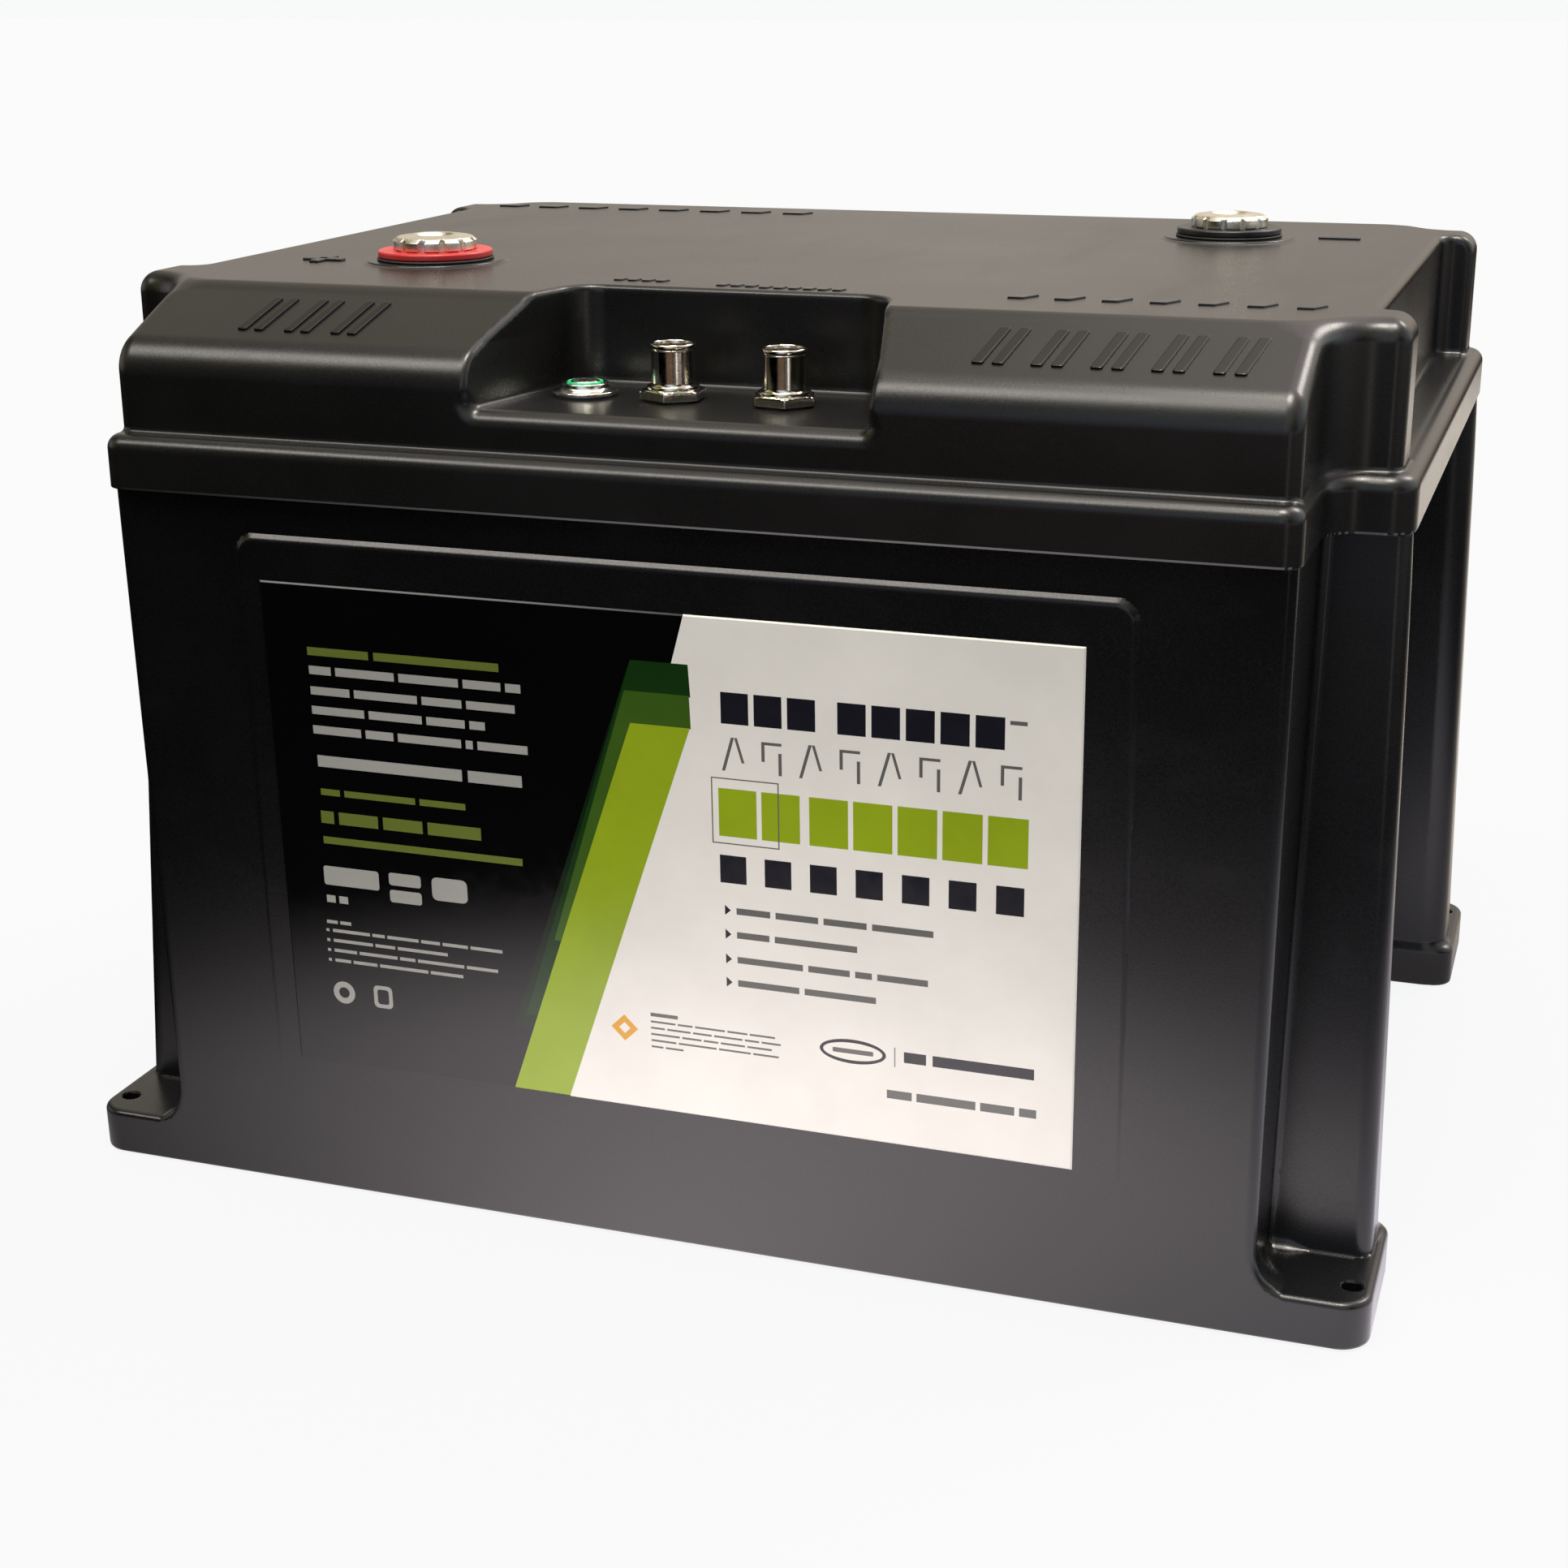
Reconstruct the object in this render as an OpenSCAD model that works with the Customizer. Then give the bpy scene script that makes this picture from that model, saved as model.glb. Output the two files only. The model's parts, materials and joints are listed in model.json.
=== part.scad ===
// Deep cycle battery: moulded tub and lid, two round terminals, two round
// bus ports and a lit push button in a front recess, four prismatic cells,
// a management board and the wiring between them.
// Origin: centre of the footprint, on the ground. +Z up, front faces -Y.

/* [Case] */
// Length over the two carry bars of the rim
rim_length = 373; // [372:0.5:380]
// Depth of the rim, front to back
rim_depth = 324.6; // [324:0.2:332]
// Height of the flat top above the ground
top_z = 263.5; // [262:0.5:270]
// Height of the joint between tub and lid
joint_z = 210.4; // [208:0.2:212]
// Height of the rim band of the lid
rim_height = 14.9; // [12:0.1:16]
// Length of the front wall between the corner notches, at the rim
front_length = 329; // [326:0.5:330]
// Depth of a corner notch from the rim front to the set-back rim face
notch_depth = 45.3; // [42:0.1:48]
// Wall thickness of the lid
lid_wall = 3.5; // [3:0.1:4]
// Thickness of the tub floor
tub_floor = 4; // [3:0.1:4]

/* [Feet] */
// Length over the feet
foot_length = 386; // [384:0.5:388]
// Depth over the feet
foot_depth = 310; // [308:0.5:311]
// Height of a foot
foot_height = 13.8; // [10:0.1:16]
// Corner radius of a foot
foot_radius = 9; // [6:0.5:10]
// Hole spacing of the feet along the length
bolt_x = 374; // [370:0.5:375]
// Hole spacing of the feet along the depth
bolt_y = 288; // [286:0.5:290]
// Diameter of a foot bolt hole
bolt_dia = 5.5; // [4.5:0.1:6.5]

/* [Lid features] */
// Height of the front and back walls of the lid, where the slope starts
slope_z = 248.6; // [246:0.1:250]
// Distance of the top edge of the slope from the centre plane
slope_y = 121.6; // [118:0.1:126]
// Height of the floor of the front recess
recess_z = 236.5; // [235:0.1:238]
// Distance of the back wall of the recess from the centre plane
recess_y = 102.5; // [98:0.5:106]
// Half width of the recess at its back wall
recess_back = 45; // [44:0.5:50]
// Half width of the recess at the front wall
recess_front = 57; // [56:0.5:64]
// Half length of a side hand pocket
pocket_y = 92; // [80:0.5:96]
// Distance of the inner wall of a hand pocket from the centre plane
pocket_x = 172; // [171:0.5:174]

/* [Terminals] */
// Distance of a terminal from the centre plane, along the length
term_x = 108; // [100:0.5:112]
// Distance of a terminal from the centre plane, along the depth
term_y = 64; // [60:0.5:70]
// Diameter of a terminal disc
term_dia = 25; // [22:0.5:26]
// Diameter of the plastic ring under a terminal
ring_dia = 34; // [30:0.5:36]
// Bore of the M8 thread, at its core
thread_dia = 6.8; // [6.6:0.1:7]
// Depth of the threaded hole
thread_depth = 15; // [10:0.5:18]

/* [Ports and button] */
// Distance of the ports and the button from the centre plane
port_y = 124; // [122:0.5:126]
// Position of the first port along the length
port_a_x = -9; // [-12:0.5:-6]
// Position of the second port along the length
port_b_x = 22.5; // [20:0.5:25]
// Position of the button along the length
button_x = -34.6; // [-38:0.5:-34]
// Outer diameter of a port barrel
port_dia = 12; // [11:0.1:12.5]
// Hex size of a port flange across its flats
port_hex = 16; // [15:0.1:17]
// Diameter of the button cap
cap_dia = 8.2; // [7.8:0.1:8.2]

/* [Pack] */
// Thickness of one cell, along the length
cell_thick = 49.8; // [45:0.1:50]
// Width of one cell, along the depth
cell_width = 160; // [150:1:165]
// Height of one cell
cell_height = 118; // [110:1:120]
// Gap between two cells
cell_gap = 1.2; // [1.1:0.1:1.5]
// Distance of a cell post from the middle of the cell
post_y = 54; // [50:0.5:56]
// Radius of the main cables
cable_r = 5; // [4:0.1:5]

/* [Hidden] */
$fn = 64;

// In all names _x, _y and _z are distances from the origin planes;
// "low" is at the ground and "high" at the joint for the tapered tub.
front_x = front_length / 2;
rim_y = rim_depth / 2;
carry_x = rim_length / 2;      // outer face of a carry bar
setback_y = rim_y - notch_depth;
rim_top = joint_z + rim_height;
tub_low_x = front_x - 2;
tub_high_x = front_x - 1;
tub_low_y = foot_depth / 2;
tub_high_y = rim_y - 3.3;
column_low_x = foot_length / 2 - 2.5;
column_high_x = carry_x - 0.5;
column_low_y = setback_y + 12.5;
column_high_y = setback_y - 3;
column_wall = 3.5;
grip_y = 104;                  // half length of the finger recess
cavity_low_x = tub_low_x - 5.5;
cavity_low_y = tub_low_y - 5;
cavity_high_x = tub_high_x - 5;
cavity_high_y = tub_high_y - 6;
lip_x = cavity_high_x + 2.4;
lip_y = cavity_high_y + 2.4;
lip_top = joint_z + 6.6;
panel_x = 126;
panel_low_z = 35;
panel_high_z = 200;
upper_x = front_x - 2;         // lid walls above the rim
upper_y = rim_y - 6.6;
block_x = carry_x - 4.5;       // corner blocks of the lid
block_y = setback_y - 5;
under_top = top_z - lid_wall;

cell_pitch = cell_thick + cell_gap;
cell_z = tub_floor + 5.3;
cell_top = cell_z + cell_height;
pack_x = 2 * cell_pitch - cell_gap / 2;
pack_y = cell_width / 2;
busbar_z = cell_top + 2.05;
busbar_thick = 2;

tray_z = 146;
boss_x = 116;                  // bosses that carry the tray
boss_y = 72;
tray_screw_r = 2.05;
board_z = tray_z + 10.6;

stem_r = 8;                    // threaded stem of a terminal
port_stem_r = 6;
button_stem_r = 7.9;

sides = [-1, 1];
tub_color = [0.09, 0.09, 0.10];
black = [0.10, 0.10, 0.11];
nut_color = [0.78, 0.76, 0.7];
bezel_color = [0.80, 0.79, 0.74];
screw_color = [0.6, 0.6, 0.62];
rubber = [0.06, 0.06, 0.06];

// ---------- helpers ----------
function both(half) = [-half, half];
// range from near to far on the chosen side of the centre plane
function span(side, near, far) = side > 0 ? [near, far] : [-far, -near];
// outline completed by its mirror image in the first coordinate
function mirrored(half) =
  concat(half, [for (i = [len(half) - 1:-1:0]) [-half[i][0], half[i][1]]]);

module at_corners(x, y, z = 0)
  for (sx = sides, sy = sides) translate([sx * x, sy * y, z]) children();
module each_quarter() for (sx = sides, sy = sides) scale([sx, sy, 1]) children();
module lift(z) translate([0, 0, z]) children();
// four thin round corners at one height, for a hull
module corners(x, y, r, z)
  for (sx = sides, sy = sides)
    translate([sx * (x - r), sy * (y - r), z]) cylinder(r = r, h = 0.02, $fn = 32);
// box from its ranges along X, Y and Z
module box(xs, ys, zs)
  translate([xs[0], ys[0], zs[0]]) cube([xs[1] - xs[0], ys[1] - ys[0], zs[1] - zs[0]]);
// upright box with round corners, from its half sizes
module round_box(x, y, r, zs) {
  box(both(x), both(y - r), zs);
  box(both(x - r), both(y), zs);
  at_corners(x - r, y - r, zs[0]) cylinder(r = r, h = zs[1] - zs[0]);
}
// prism along X from a profile in Y and Z
module along_x(xs, profile)
  translate([xs[0], 0, 0]) rotate([90, 0, 90])
    linear_extrude(xs[1] - xs[0]) polygon(profile);
module hexnut(flats, h, hole_r) difference() {
  cylinder(d = flats / cos(30), h = h, $fn = 6);
  lift(-1) cylinder(r = hole_r, h = h + 2);
}
module tube(outer_r, inner_r, zs) difference() {
  lift(zs[0]) cylinder(r = outer_r, h = zs[1] - zs[0]);
  lift(zs[0] - 1) cylinder(r = inner_r, h = zs[1] - zs[0] + 2);
}
function unit(v) = v / norm(v);
// cubic curve through n + 1 points, from four control points
function bezier(p, t) = let (s = 1 - t)
  s * s * s * p[0] + 3 * s * s * t * p[1] + 3 * s * t * t * p[2] + t * t * t * p[3];
function curve(controls, n) = [for (i = [0:n]) bezier(controls, i / n)];
// across vectors carried along a path without twist
function carry(tangents, across, i = 0) = i == len(tangents) ? [] :
  let (next = unit(across - (across * tangents[i]) * tangents[i]))
  concat([next], carry(tangents, next, i + 1));
// round wire with n sides along a path; across is a direction across its start
module wire(path, r, across, n = 12) {
  last = len(path) - 1;
  tangents = [for (i = [0:last])
    unit(path[min(i + 1, last)] - path[max(i - 1, 0)])];
  normals = carry(tangents, across);
  points = [for (i = [0:last])
    let (u = normals[i], v = cross(tangents[i], u))
    for (k = [0:n - 1]) path[i] + r * (cos(360 * k / n) * u + sin(360 * k / n) * v)];
  polyhedron(points = points, faces = concat(
    [[for (k = [0:n - 1]) k]],
    [[for (k = [0:n - 1]) last * n + n - 1 - k]],
    [for (i = [0:last - 1], k = [0:n - 1])
      let (a = i * n + k, b = i * n + (k + 1) % n) [a, a + n, b + n, b]]),
    convexity = 4);
}

// ---------- tub ----------
// Y of the tapered wall, and of the label panel that stands out towards its top
function wall_y(z) = tub_low_y + (tub_high_y - tub_low_y) * z / joint_z;
function panel_y(z) =
  wall_y(z) + 1.3 * (z - panel_low_z) / (panel_high_z - panel_low_z);

// corner columns, with a finger recess between them
module tub_columns() difference() {
  hull() {
    corners(column_low_x, column_low_y, 9, 0);
    corners(column_high_x, column_high_y, 9, joint_z - 0.02);
  }
  for (s = sides)
    box(span(s, tub_low_x - 10, column_low_x + 5), both(grip_y), [-1, joint_z + 1]);
}
module tub_feet() each_quarter() {
  inner_x = tub_low_x - 8;
  outer_x = foot_length / 2;
  box([inner_x, outer_x - foot_radius], [grip_y, tub_low_y], [0, foot_height]);
  box([inner_x, outer_x], [grip_y, tub_low_y - foot_radius], [0, foot_height]);
  translate([outer_x - foot_radius, tub_low_y - foot_radius, 0])
    cylinder(r = foot_radius, h = foot_height);
}
// panels on the front and back walls, flush at their lower edge
module label_panels() for (s = sides) along_x(both(panel_x), [
  [s * (tub_low_y - 2), panel_low_z], [s * panel_y(panel_low_z), panel_low_z],
  [s * panel_y(panel_high_z), panel_high_z], [s * (tub_low_y - 2), panel_high_z]]);
module tub_body() difference() {
  union() {
    hull() {
      corners(tub_low_x, tub_low_y, 5, 0);
      corners(tub_high_x, tub_high_y, 5, joint_z - 0.02);
    }
    tub_columns();
    tub_feet();
    label_panels();
    // lip inside the lid
    round_box(lip_x, lip_y, 5, [joint_z - 10, lip_top]);
  }
  hull() {
    corners(cavity_low_x, cavity_low_y, 6, tub_floor);
    corners(cavity_high_x, cavity_high_y, 3, lip_top + 1);
  }
  // hollow columns, open below
  each_quarter() along_x([tub_high_x + 1, column_high_x - column_wall], [
    [grip_y + column_wall, -1], [column_low_y - column_wall, -1],
    [column_high_y - 3.2, joint_z - 4], [grip_y + column_wall, joint_z - 4]]);
  at_corners(bolt_x / 2, bolt_y / 2, -1) cylinder(d = bolt_dia, h = foot_height + 2);
}
// bosses for the tray, moulded with the tub
module tub_bosses() at_corners(boss_x, boss_y) difference() {
  lift(tub_floor - 1) cylinder(r = 7, h = tray_z - tub_floor + 1);
  lift(tray_z - 22) cylinder(r = tray_screw_r + 0.05, h = 30);
}
module case_tub() {
  color(tub_color) tub_body();
  color(tub_color) tub_bosses();
}
module front_label() color([0.85, 0.84, 0.81]) {
  low_z = 42.4;
  high_z = 186.7;
  along_x([-118, 112.7], [
    [-panel_y(low_z) - 0.03, low_z], [-panel_y(low_z) - 0.33, low_z],
    [-panel_y(high_z) - 0.33, high_z], [-panel_y(high_z) - 0.03, high_z]]);
}

// ---------- lid ----------
boss_height = 0.8;             // round boss under each terminal
sign_at = [142, 70.5];
sign_length = 13;
sign_width = 3.2;
sign_height = 1.4;

// front recess, grown by a wall thickness for the inside of the lid
module recess_cut(grow) lift(recess_z - grow) linear_extrude(60) polygon(mirrored([
  [-(recess_front + 2 + grow), -(upper_y + 9)],
  [-(recess_back + grow), -(recess_y - grow)]]));
module polarity_signs() {
  for (s = sides) translate([s * sign_at[0], s * sign_at[1], top_z])
    cube([sign_length, sign_width, sign_height], center = true);
  // upright stroke of the plus
  translate([-sign_at[0], -sign_at[1], top_z])
    cube([sign_width, sign_length, sign_height], center = true);
}
module lid_outside() {
  // rim band with its corner notches
  round_box(front_x, rim_y, 6, [joint_z, rim_top]);
  round_box(carry_x, setback_y, 9, [joint_z, rim_top]);
  // walls, slope and top
  along_x(both(upper_x), mirrored(
    [[-upper_y, rim_top - 1], [-upper_y, slope_z], [-slope_y, top_z]]));
  // corner blocks, with a hand pocket between them on each side
  difference() {
    round_box(block_x, block_y, 8, [rim_top - 1, top_z]);
    for (s = sides)
      box(span(s, pocket_x, block_x + 5), both(pocket_y), [rim_top, top_z + 1]);
  }
  for (s = sides) at_term(s) lift(top_z - 1) cylinder(d = ring_dia + 6, h = 1 + boss_height);
  polarity_signs();
}
module lid_inside() difference() {
  inner_y = upper_y - lid_wall;
  block_zs = [rim_top + lid_wall, under_top];
  union() {
    box(both(lip_x + 0.2), both(lip_y + 0.2), [joint_z - 1, lip_top + 1.6]);
    along_x(both(upper_x - lid_wall), mirrored(
      [[-inner_y, lip_top], [-inner_y, slope_z - 2.2], [-(slope_y - 0.7), under_top]]));
    box(both(pocket_x - lid_wall), both(block_y - lid_wall), block_zs);
    for (s = sides) box(both(block_x - lid_wall),
      span(s, pocket_y + lid_wall, block_y - lid_wall), block_zs);
  }
  recess_cut(lid_wall);
}
module case_lid() color(black) difference() {
  lid_outside();
  recess_cut(0);
  lid_inside();
  // hollow under the carry bars, for the fingers
  for (s = sides) box(span(s, tub_high_x + 3, carry_x - 3.3), both(grip_y - 3),
    [joint_z - 1, rim_top - 3.3]);
  for (s = sides) at_term(s) lift(top_z - 10) cylinder(r = stem_r + 0.2, h = 20);
  for (x = [port_a_x, port_b_x])
    in_recess(x) lift(-10) cylinder(r = port_stem_r + 0.15, h = 20);
  in_recess(button_x) lift(-10) cylinder(r = button_stem_r + 0.2, h = 20);
}
module lid_gasket() color([0.25, 0.25, 0.25]) difference() {
  round_box(lip_x - 0.1, lip_y - 0.1, 4, [lip_top + 0.05, lip_top + 1.55]);
  round_box(lip_x - 2.3, lip_y - 2.3, 3, [lip_top - 1, lip_top + 3]);
}

// ---------- terminals ----------
// each stacks a seal, a ring and a metal disc on its boss
seal_z = top_z + boss_height;
ring_z = seal_z + 0.8;
disc_z = ring_z + 2.1;
disc_height = 4.4;
stack_gap = 0.02;
term_nut_height = 5;
term_lug_z = under_top - 7.65; // cable lug between the two nuts

// side is -1 for the positive terminal and 1 for the negative one
module at_term(side) translate([side * term_x, side * term_y, 0]) children();
module terminal(turn) color([0.82, 0.80, 0.74]) difference() {
  union() {
    lift(disc_z + stack_gap) cylinder(d = term_dia, h = disc_height / 2 - stack_gap);
    lift(disc_z + disc_height / 2)
      cylinder(d1 = term_dia, d2 = term_dia - 7.4, h = disc_height / 2);
    lift(top_z - 17.5) cylinder(r = stem_r, h = disc_z - top_z + 18);
  }
  lift(disc_z + disc_height - thread_depth) cylinder(d = thread_dia, h = thread_depth + 1);
  // driving notches on the edge of the disc
  for (k = [0:11]) rotate(30 * k + turn)
    translate([term_dia / 2 + 0.3, 0, disc_z - 1]) cylinder(r = 1.1, h = disc_height + 3);
}
module ring(paint) color(paint)
  tube(ring_dia / 2, stem_r + 0.1, [ring_z + stack_gap, disc_z]);
module seal() color([0.08, 0.08, 0.08])
  tube(ring_dia / 2 + 0.4, stem_r + 0.1, [seal_z + stack_gap, ring_z]);
module positive_terminal() at_term(-1) terminal(6.7);
module negative_terminal() at_term(1) terminal(0);
module positive_ring() at_term(-1) ring([0.75, 0.16, 0.16]);
module negative_ring() at_term(1) ring([0.08, 0.08, 0.08]);
module positive_seal() at_term(-1) seal();
module negative_seal() at_term(1) seal();
module terminal_nuts() color(nut_color)
  for (s = sides, z = [under_top, term_lug_z]) at_term(s)
    lift(z - term_nut_height - 0.05) hexnut(24, term_nut_height, stem_r + 0.05);

// ---------- ports ----------
// heights of ports and button count from the recess floor
stem_bottom = -14;
insert_r = 4.55;
pin_r = 0.5;
pin_circle_r = 2.5;
pin_spots = [for (k = [0:3]) pin_circle_r * [cos(90 * k + 45), sin(90 * k + 45)], [0, 0]];

module in_recess(x) translate([x, -port_y, recess_z]) children();
module each_port() for (x = [port_a_x, port_b_x]) in_recess(x) children();
module at_pins(z) for (spot = pin_spots) translate([spot[0], spot[1], z]) children();
module port_shell() color([0.80, 0.78, 0.74]) difference() {
  union() {
    lift(0.6) cylinder(d = port_hex / cos(30), h = 2.6, $fn = 6);
    lift(3) cylinder(d = 14.2, h = 1.2);
    lift(3) cylinder(d = port_dia, h = 12.3);
    lift(stem_bottom) cylinder(r = port_stem_r, h = 16);
  }
  lift(stem_bottom - 1) cylinder(r = insert_r + 0.05, h = 40);
}
module port_insert() color([0.10, 0.10, 0.10]) difference() {
  lift(stem_bottom) cylinder(r = insert_r, h = 20);
  at_pins(stem_bottom - 1) cylinder(r = pin_r + 0.02, h = 30);
}
module port_a_shell() in_recess(port_a_x) port_shell();
module port_b_shell() in_recess(port_b_x) port_shell();
module port_a_insert() in_recess(port_a_x) port_insert();
module port_b_insert() in_recess(port_b_x) port_insert();
module port_pins() color([0.85, 0.68, 0.32]) each_port()
  at_pins(stem_bottom - 3) cylinder(r = pin_r, h = 29, $fn = 24);
module port_nuts() color(nut_color) each_port()
  lift(-lid_wall - 3.55) hexnut(17, 3.5, port_stem_r + 0.05);
module port_seals() color(rubber) each_port() tube(7.4, port_stem_r + 0.2, [0.03, 0.58]);

// ---------- button ----------
// half section of the bezel: radius, height
bezel_profile = [
  [1.56, -8], [7.9, -8], [7.9, 0.62], [8.9, 0.62], [8.9, 1.5], [8.3, 2.0],
  [6.6, 2.6], [6.3, 3.4], [5.9, 3.7], [5.0, 3.7], [5.0, -2.5], [4.3, -2.5],
  [4.3, -7], [1.56, -7]];
plunger_z = -9.4;
spring_turns = 4;
spring_steps = 96;
spring_r = 2.9;
contact_x = 3;                 // contact blades, either side of the button axis

module at_button() in_recess(button_x) children();
module button_bezel() {
  color(bezel_color) at_button() rotate_extrude() polygon(bezel_profile);
  // skirt below the bezel
  color(bezel_color) at_button() tube(button_stem_r, 6.6, [-13, -7.9]);
}
module button_cap() color([0.72, 0.72, 0.70]) at_button() {
  lift(-2) cylinder(d = cap_dia, h = 6.2);
  lift(plunger_z) cylinder(r = 1.5, h = 8);
  lift(plunger_z) cylinder(r = 2.4, h = 1.35);
}
module button_light_ring() color([0.12, 0.65, 0.32]) at_button()
  tube(4.95, cap_dia / 2 + 0.05, [-2.47, 4.05]);
module button_spring() color([0.7, 0.7, 0.72]) at_button() wire(
  [for (i = [0:spring_steps]) let (a = i * 360 * spring_turns / spring_steps)
    [spring_r * cos(a), spring_r * sin(a), -6.65 + 4.3 * i / spring_steps]],
  0.3, [1, 0, 0], 8);
module button_nut() color(nut_color) at_button()
  lift(-lid_wall - 3.05) hexnut(20, 3, button_stem_r + 0.05);
module button_seal() color(rubber) at_button() tube(8.7, 8.12, [0.03, 0.6]);
module button_contact_block() color([0.12, 0.12, 0.13]) at_button() {
  lift(-22) cylinder(r = 6.5, h = 11);
  for (s = sides)
    box([s * contact_x - 0.4, s * contact_x + 0.4], both(1.4), [-27, -21]);
}

// ---------- cell pack ----------
stud_r = 3;                    // threaded stud of a cell post
stud_hole_r = stud_r + 0.1;
foam_zs = [tub_floor + 0.5, cell_top - 36];

function cell_x(k) = (k - 1.5) * cell_pitch;
module cell(k) color([0.20, 0.35, 0.55]) translate([cell_x(k), 0, 0]) difference() {
  round_box(cell_thick / 2, pack_y, 2, [cell_z, cell_top]);
  // safety vent
  lift(cell_top - 0.6) {
    cylinder(r = 7, h = 2);
    box(both(7), both(9), [0, 2]);
  }
}
module cell_1() cell(0);
module cell_2() cell(1);
module cell_3() cell(2);
module cell_4() cell(3);
module each_post()
  for (k = [0:3], s = sides) translate([cell_x(k), s * post_y, 0]) children();
module cell_posts() color([0.78, 0.78, 0.78]) each_post() {
  lift(cell_top + 0.02) cylinder(r = 9, h = 2);
  lift(cell_top + 1) cylinder(r = stud_r, h = 9.5);
}
// series links, on the back and front rows of posts in turn
module busbars() color([0.72, 0.45, 0.28]) for (k = [0:2]) {
  y = (k % 2 == 0 ? 1 : -1) * post_y;
  difference() {
    box([cell_x(k) - 10, cell_x(k + 1) + 10], [y - 10, y + 10],
      [busbar_z, busbar_z + busbar_thick]);
    for (j = [k, k + 1])
      translate([cell_x(j), y, busbar_z - 1]) cylinder(r = stud_hole_r, h = 5);
  }
}
module busbar_nuts() color([0.75, 0.75, 0.75]) each_post()
  lift(busbar_z + busbar_thick + 0.05) hexnut(10, 5, stud_r + 0.05);
module cell_spacers() color([0.85, 0.80, 0.55]) for (k = [0:2])
  box([cell_x(k) + cell_thick / 2 + 0.1, cell_x(k + 1) - cell_thick / 2 - 0.1],
    both(pack_y - 1), [cell_z + 1, cell_top - 1]);
module end_plates() color([0.75, 0.76, 0.78]) for (s = sides) difference() {
  box(span(s, pack_x + 0.1, pack_x + 3.1), both(pack_y), [cell_z, cell_top - 1]);
  for (y = [-45, 0, 45]) translate([s * (pack_x + 1.5), y, (cell_z + cell_top) / 2])
    rotate([0, 90, 0]) cylinder(r = 14, h = 8, center = true);
}
module pack_straps() color([0.15, 0.15, 0.16])
  for (z = [cell_z + 18, cell_top - 34]) difference() {
    round_box(pack_x + 4.3, pack_y + 2.9, 3, [z, z + 16]);
    box(both(pack_x + 3.3), both(pack_y + 1.9), [z - 1, z + 17]);
  }
module base_pad() color([0.30, 0.30, 0.32])
  round_box(pack_x + 3, pack_y, 4, [tub_floor + 0.1, cell_z - 0.1]);
module heater_pads() color([0.80, 0.45, 0.12]) for (s = sides)
  box(both(pack_x - 4), span(s, pack_y + 0.1, pack_y + 1.6), [cell_z + 12, cell_top - 12]);
module foam_blocks() color([0.45, 0.45, 0.47]) for (s = sides) {
  box(span(s, pack_x + 5, cavity_low_x - 2), both(56), foam_zs);
  box(both(80), span(s, pack_y + 3.5, cavity_low_y - 2), foam_zs);
}

// ---------- management board ----------
tray_top = tray_z + 2.5;
board_screw_r = 1.5;
tray_hole_r = board_screw_r + 0.1;
board_hole_r = board_screw_r + 0.2;
part_z = board_z + 1.65;       // underside of parts on the board
sink_z = board_z + 6.1;
sink_y = 26;
sink_plate = [sink_z, sink_z + 4];
fin_pitch = 5.6;
fin_thick = 1.6;
// connectors along the front edge of the board: x, half length
connectors = [[-44, 8], [-20, 6], [4, 5], [28, 5]];

module at_board_screws() at_corners(66, 46) children();
module bms_tray() color([0.65, 0.67, 0.68]) difference() {
  round_box(boss_x + 9, boss_y + 9, 6, [tray_z + 0.05, tray_top]);
  at_corners(boss_x, boss_y, tray_z - 1) cylinder(r = 2.6, h = 6);
  at_board_screws() lift(tray_z - 1) cylinder(r = tray_hole_r, h = 6);
}
module tray_screws() color(screw_color) at_corners(boss_x, boss_y) {
  lift(tray_top + 0.05) cylinder(r = 4.4, h = 2.8);
  lift(tray_z - 16) cylinder(r = tray_screw_r, h = 19);
}
module bms_standoffs() color([0.75, 0.65, 0.35]) at_board_screws() difference() {
  lift(tray_top + 0.05) cylinder(d = 7, h = board_z - tray_z - 2.6, $fn = 6);
  lift(tray_z) cylinder(r = tray_hole_r, h = 20);
}
module bms_board() color([0.08, 0.30, 0.16]) difference() {
  box(both(75), both(52), [board_z, board_z + 1.6]);
  at_board_screws() lift(board_z - 1) cylinder(r = board_hole_r, h = 4);
}
module bms_transistors() color([0.13, 0.13, 0.14]) for (k = [0:7], s = sides)
  translate([-54 + 14 * k, s * 14 - 7.5, part_z]) cube([10, 15, 4.4]);
module bms_heatsink() color([0.80, 0.81, 0.82]) difference() {
  union() {
    box(both(58), both(sink_y), sink_plate);
    for (k = [0:9]) let (y = -sink_y + k * fin_pitch)
      box(both(58), [y, y + fin_thick], [sink_z + 3, sink_z + 19.9]);
    // ears that reach the screws
    at_board_screws() lift(sink_z) cylinder(r = 5, h = 4);
    each_quarter() box([54, 71], [22, 46], sink_plate);
  }
  at_board_screws() lift(board_z) cylinder(r = board_hole_r, h = 20);
}
module bms_screws() color(screw_color) at_board_screws() {
  lift(sink_z + 4.05) cylinder(r = 2.9, h = 2.2);
  lift(board_z - 6) cylinder(r = board_screw_r, h = 17);
}
module bms_capacitors() color([0.15, 0.17, 0.30]) for (k = [0:3])
  translate([-30 + 14 * k, 43, part_z]) cylinder(r = 5, h = 14);
module bms_connectors() color([0.88, 0.87, 0.82]) for (c = connectors)
  box([c[0] - c[1], c[0] + c[1]], [-50, -42], [part_z, board_z + 9]);

// ---------- wiring ----------
// Each path is a row of curves; each curve has four control points.
plug_z = board_z + 5.5;        // thin wires at the board connectors
board_cable_z = board_z + 6.8; // main cables at the board
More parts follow.
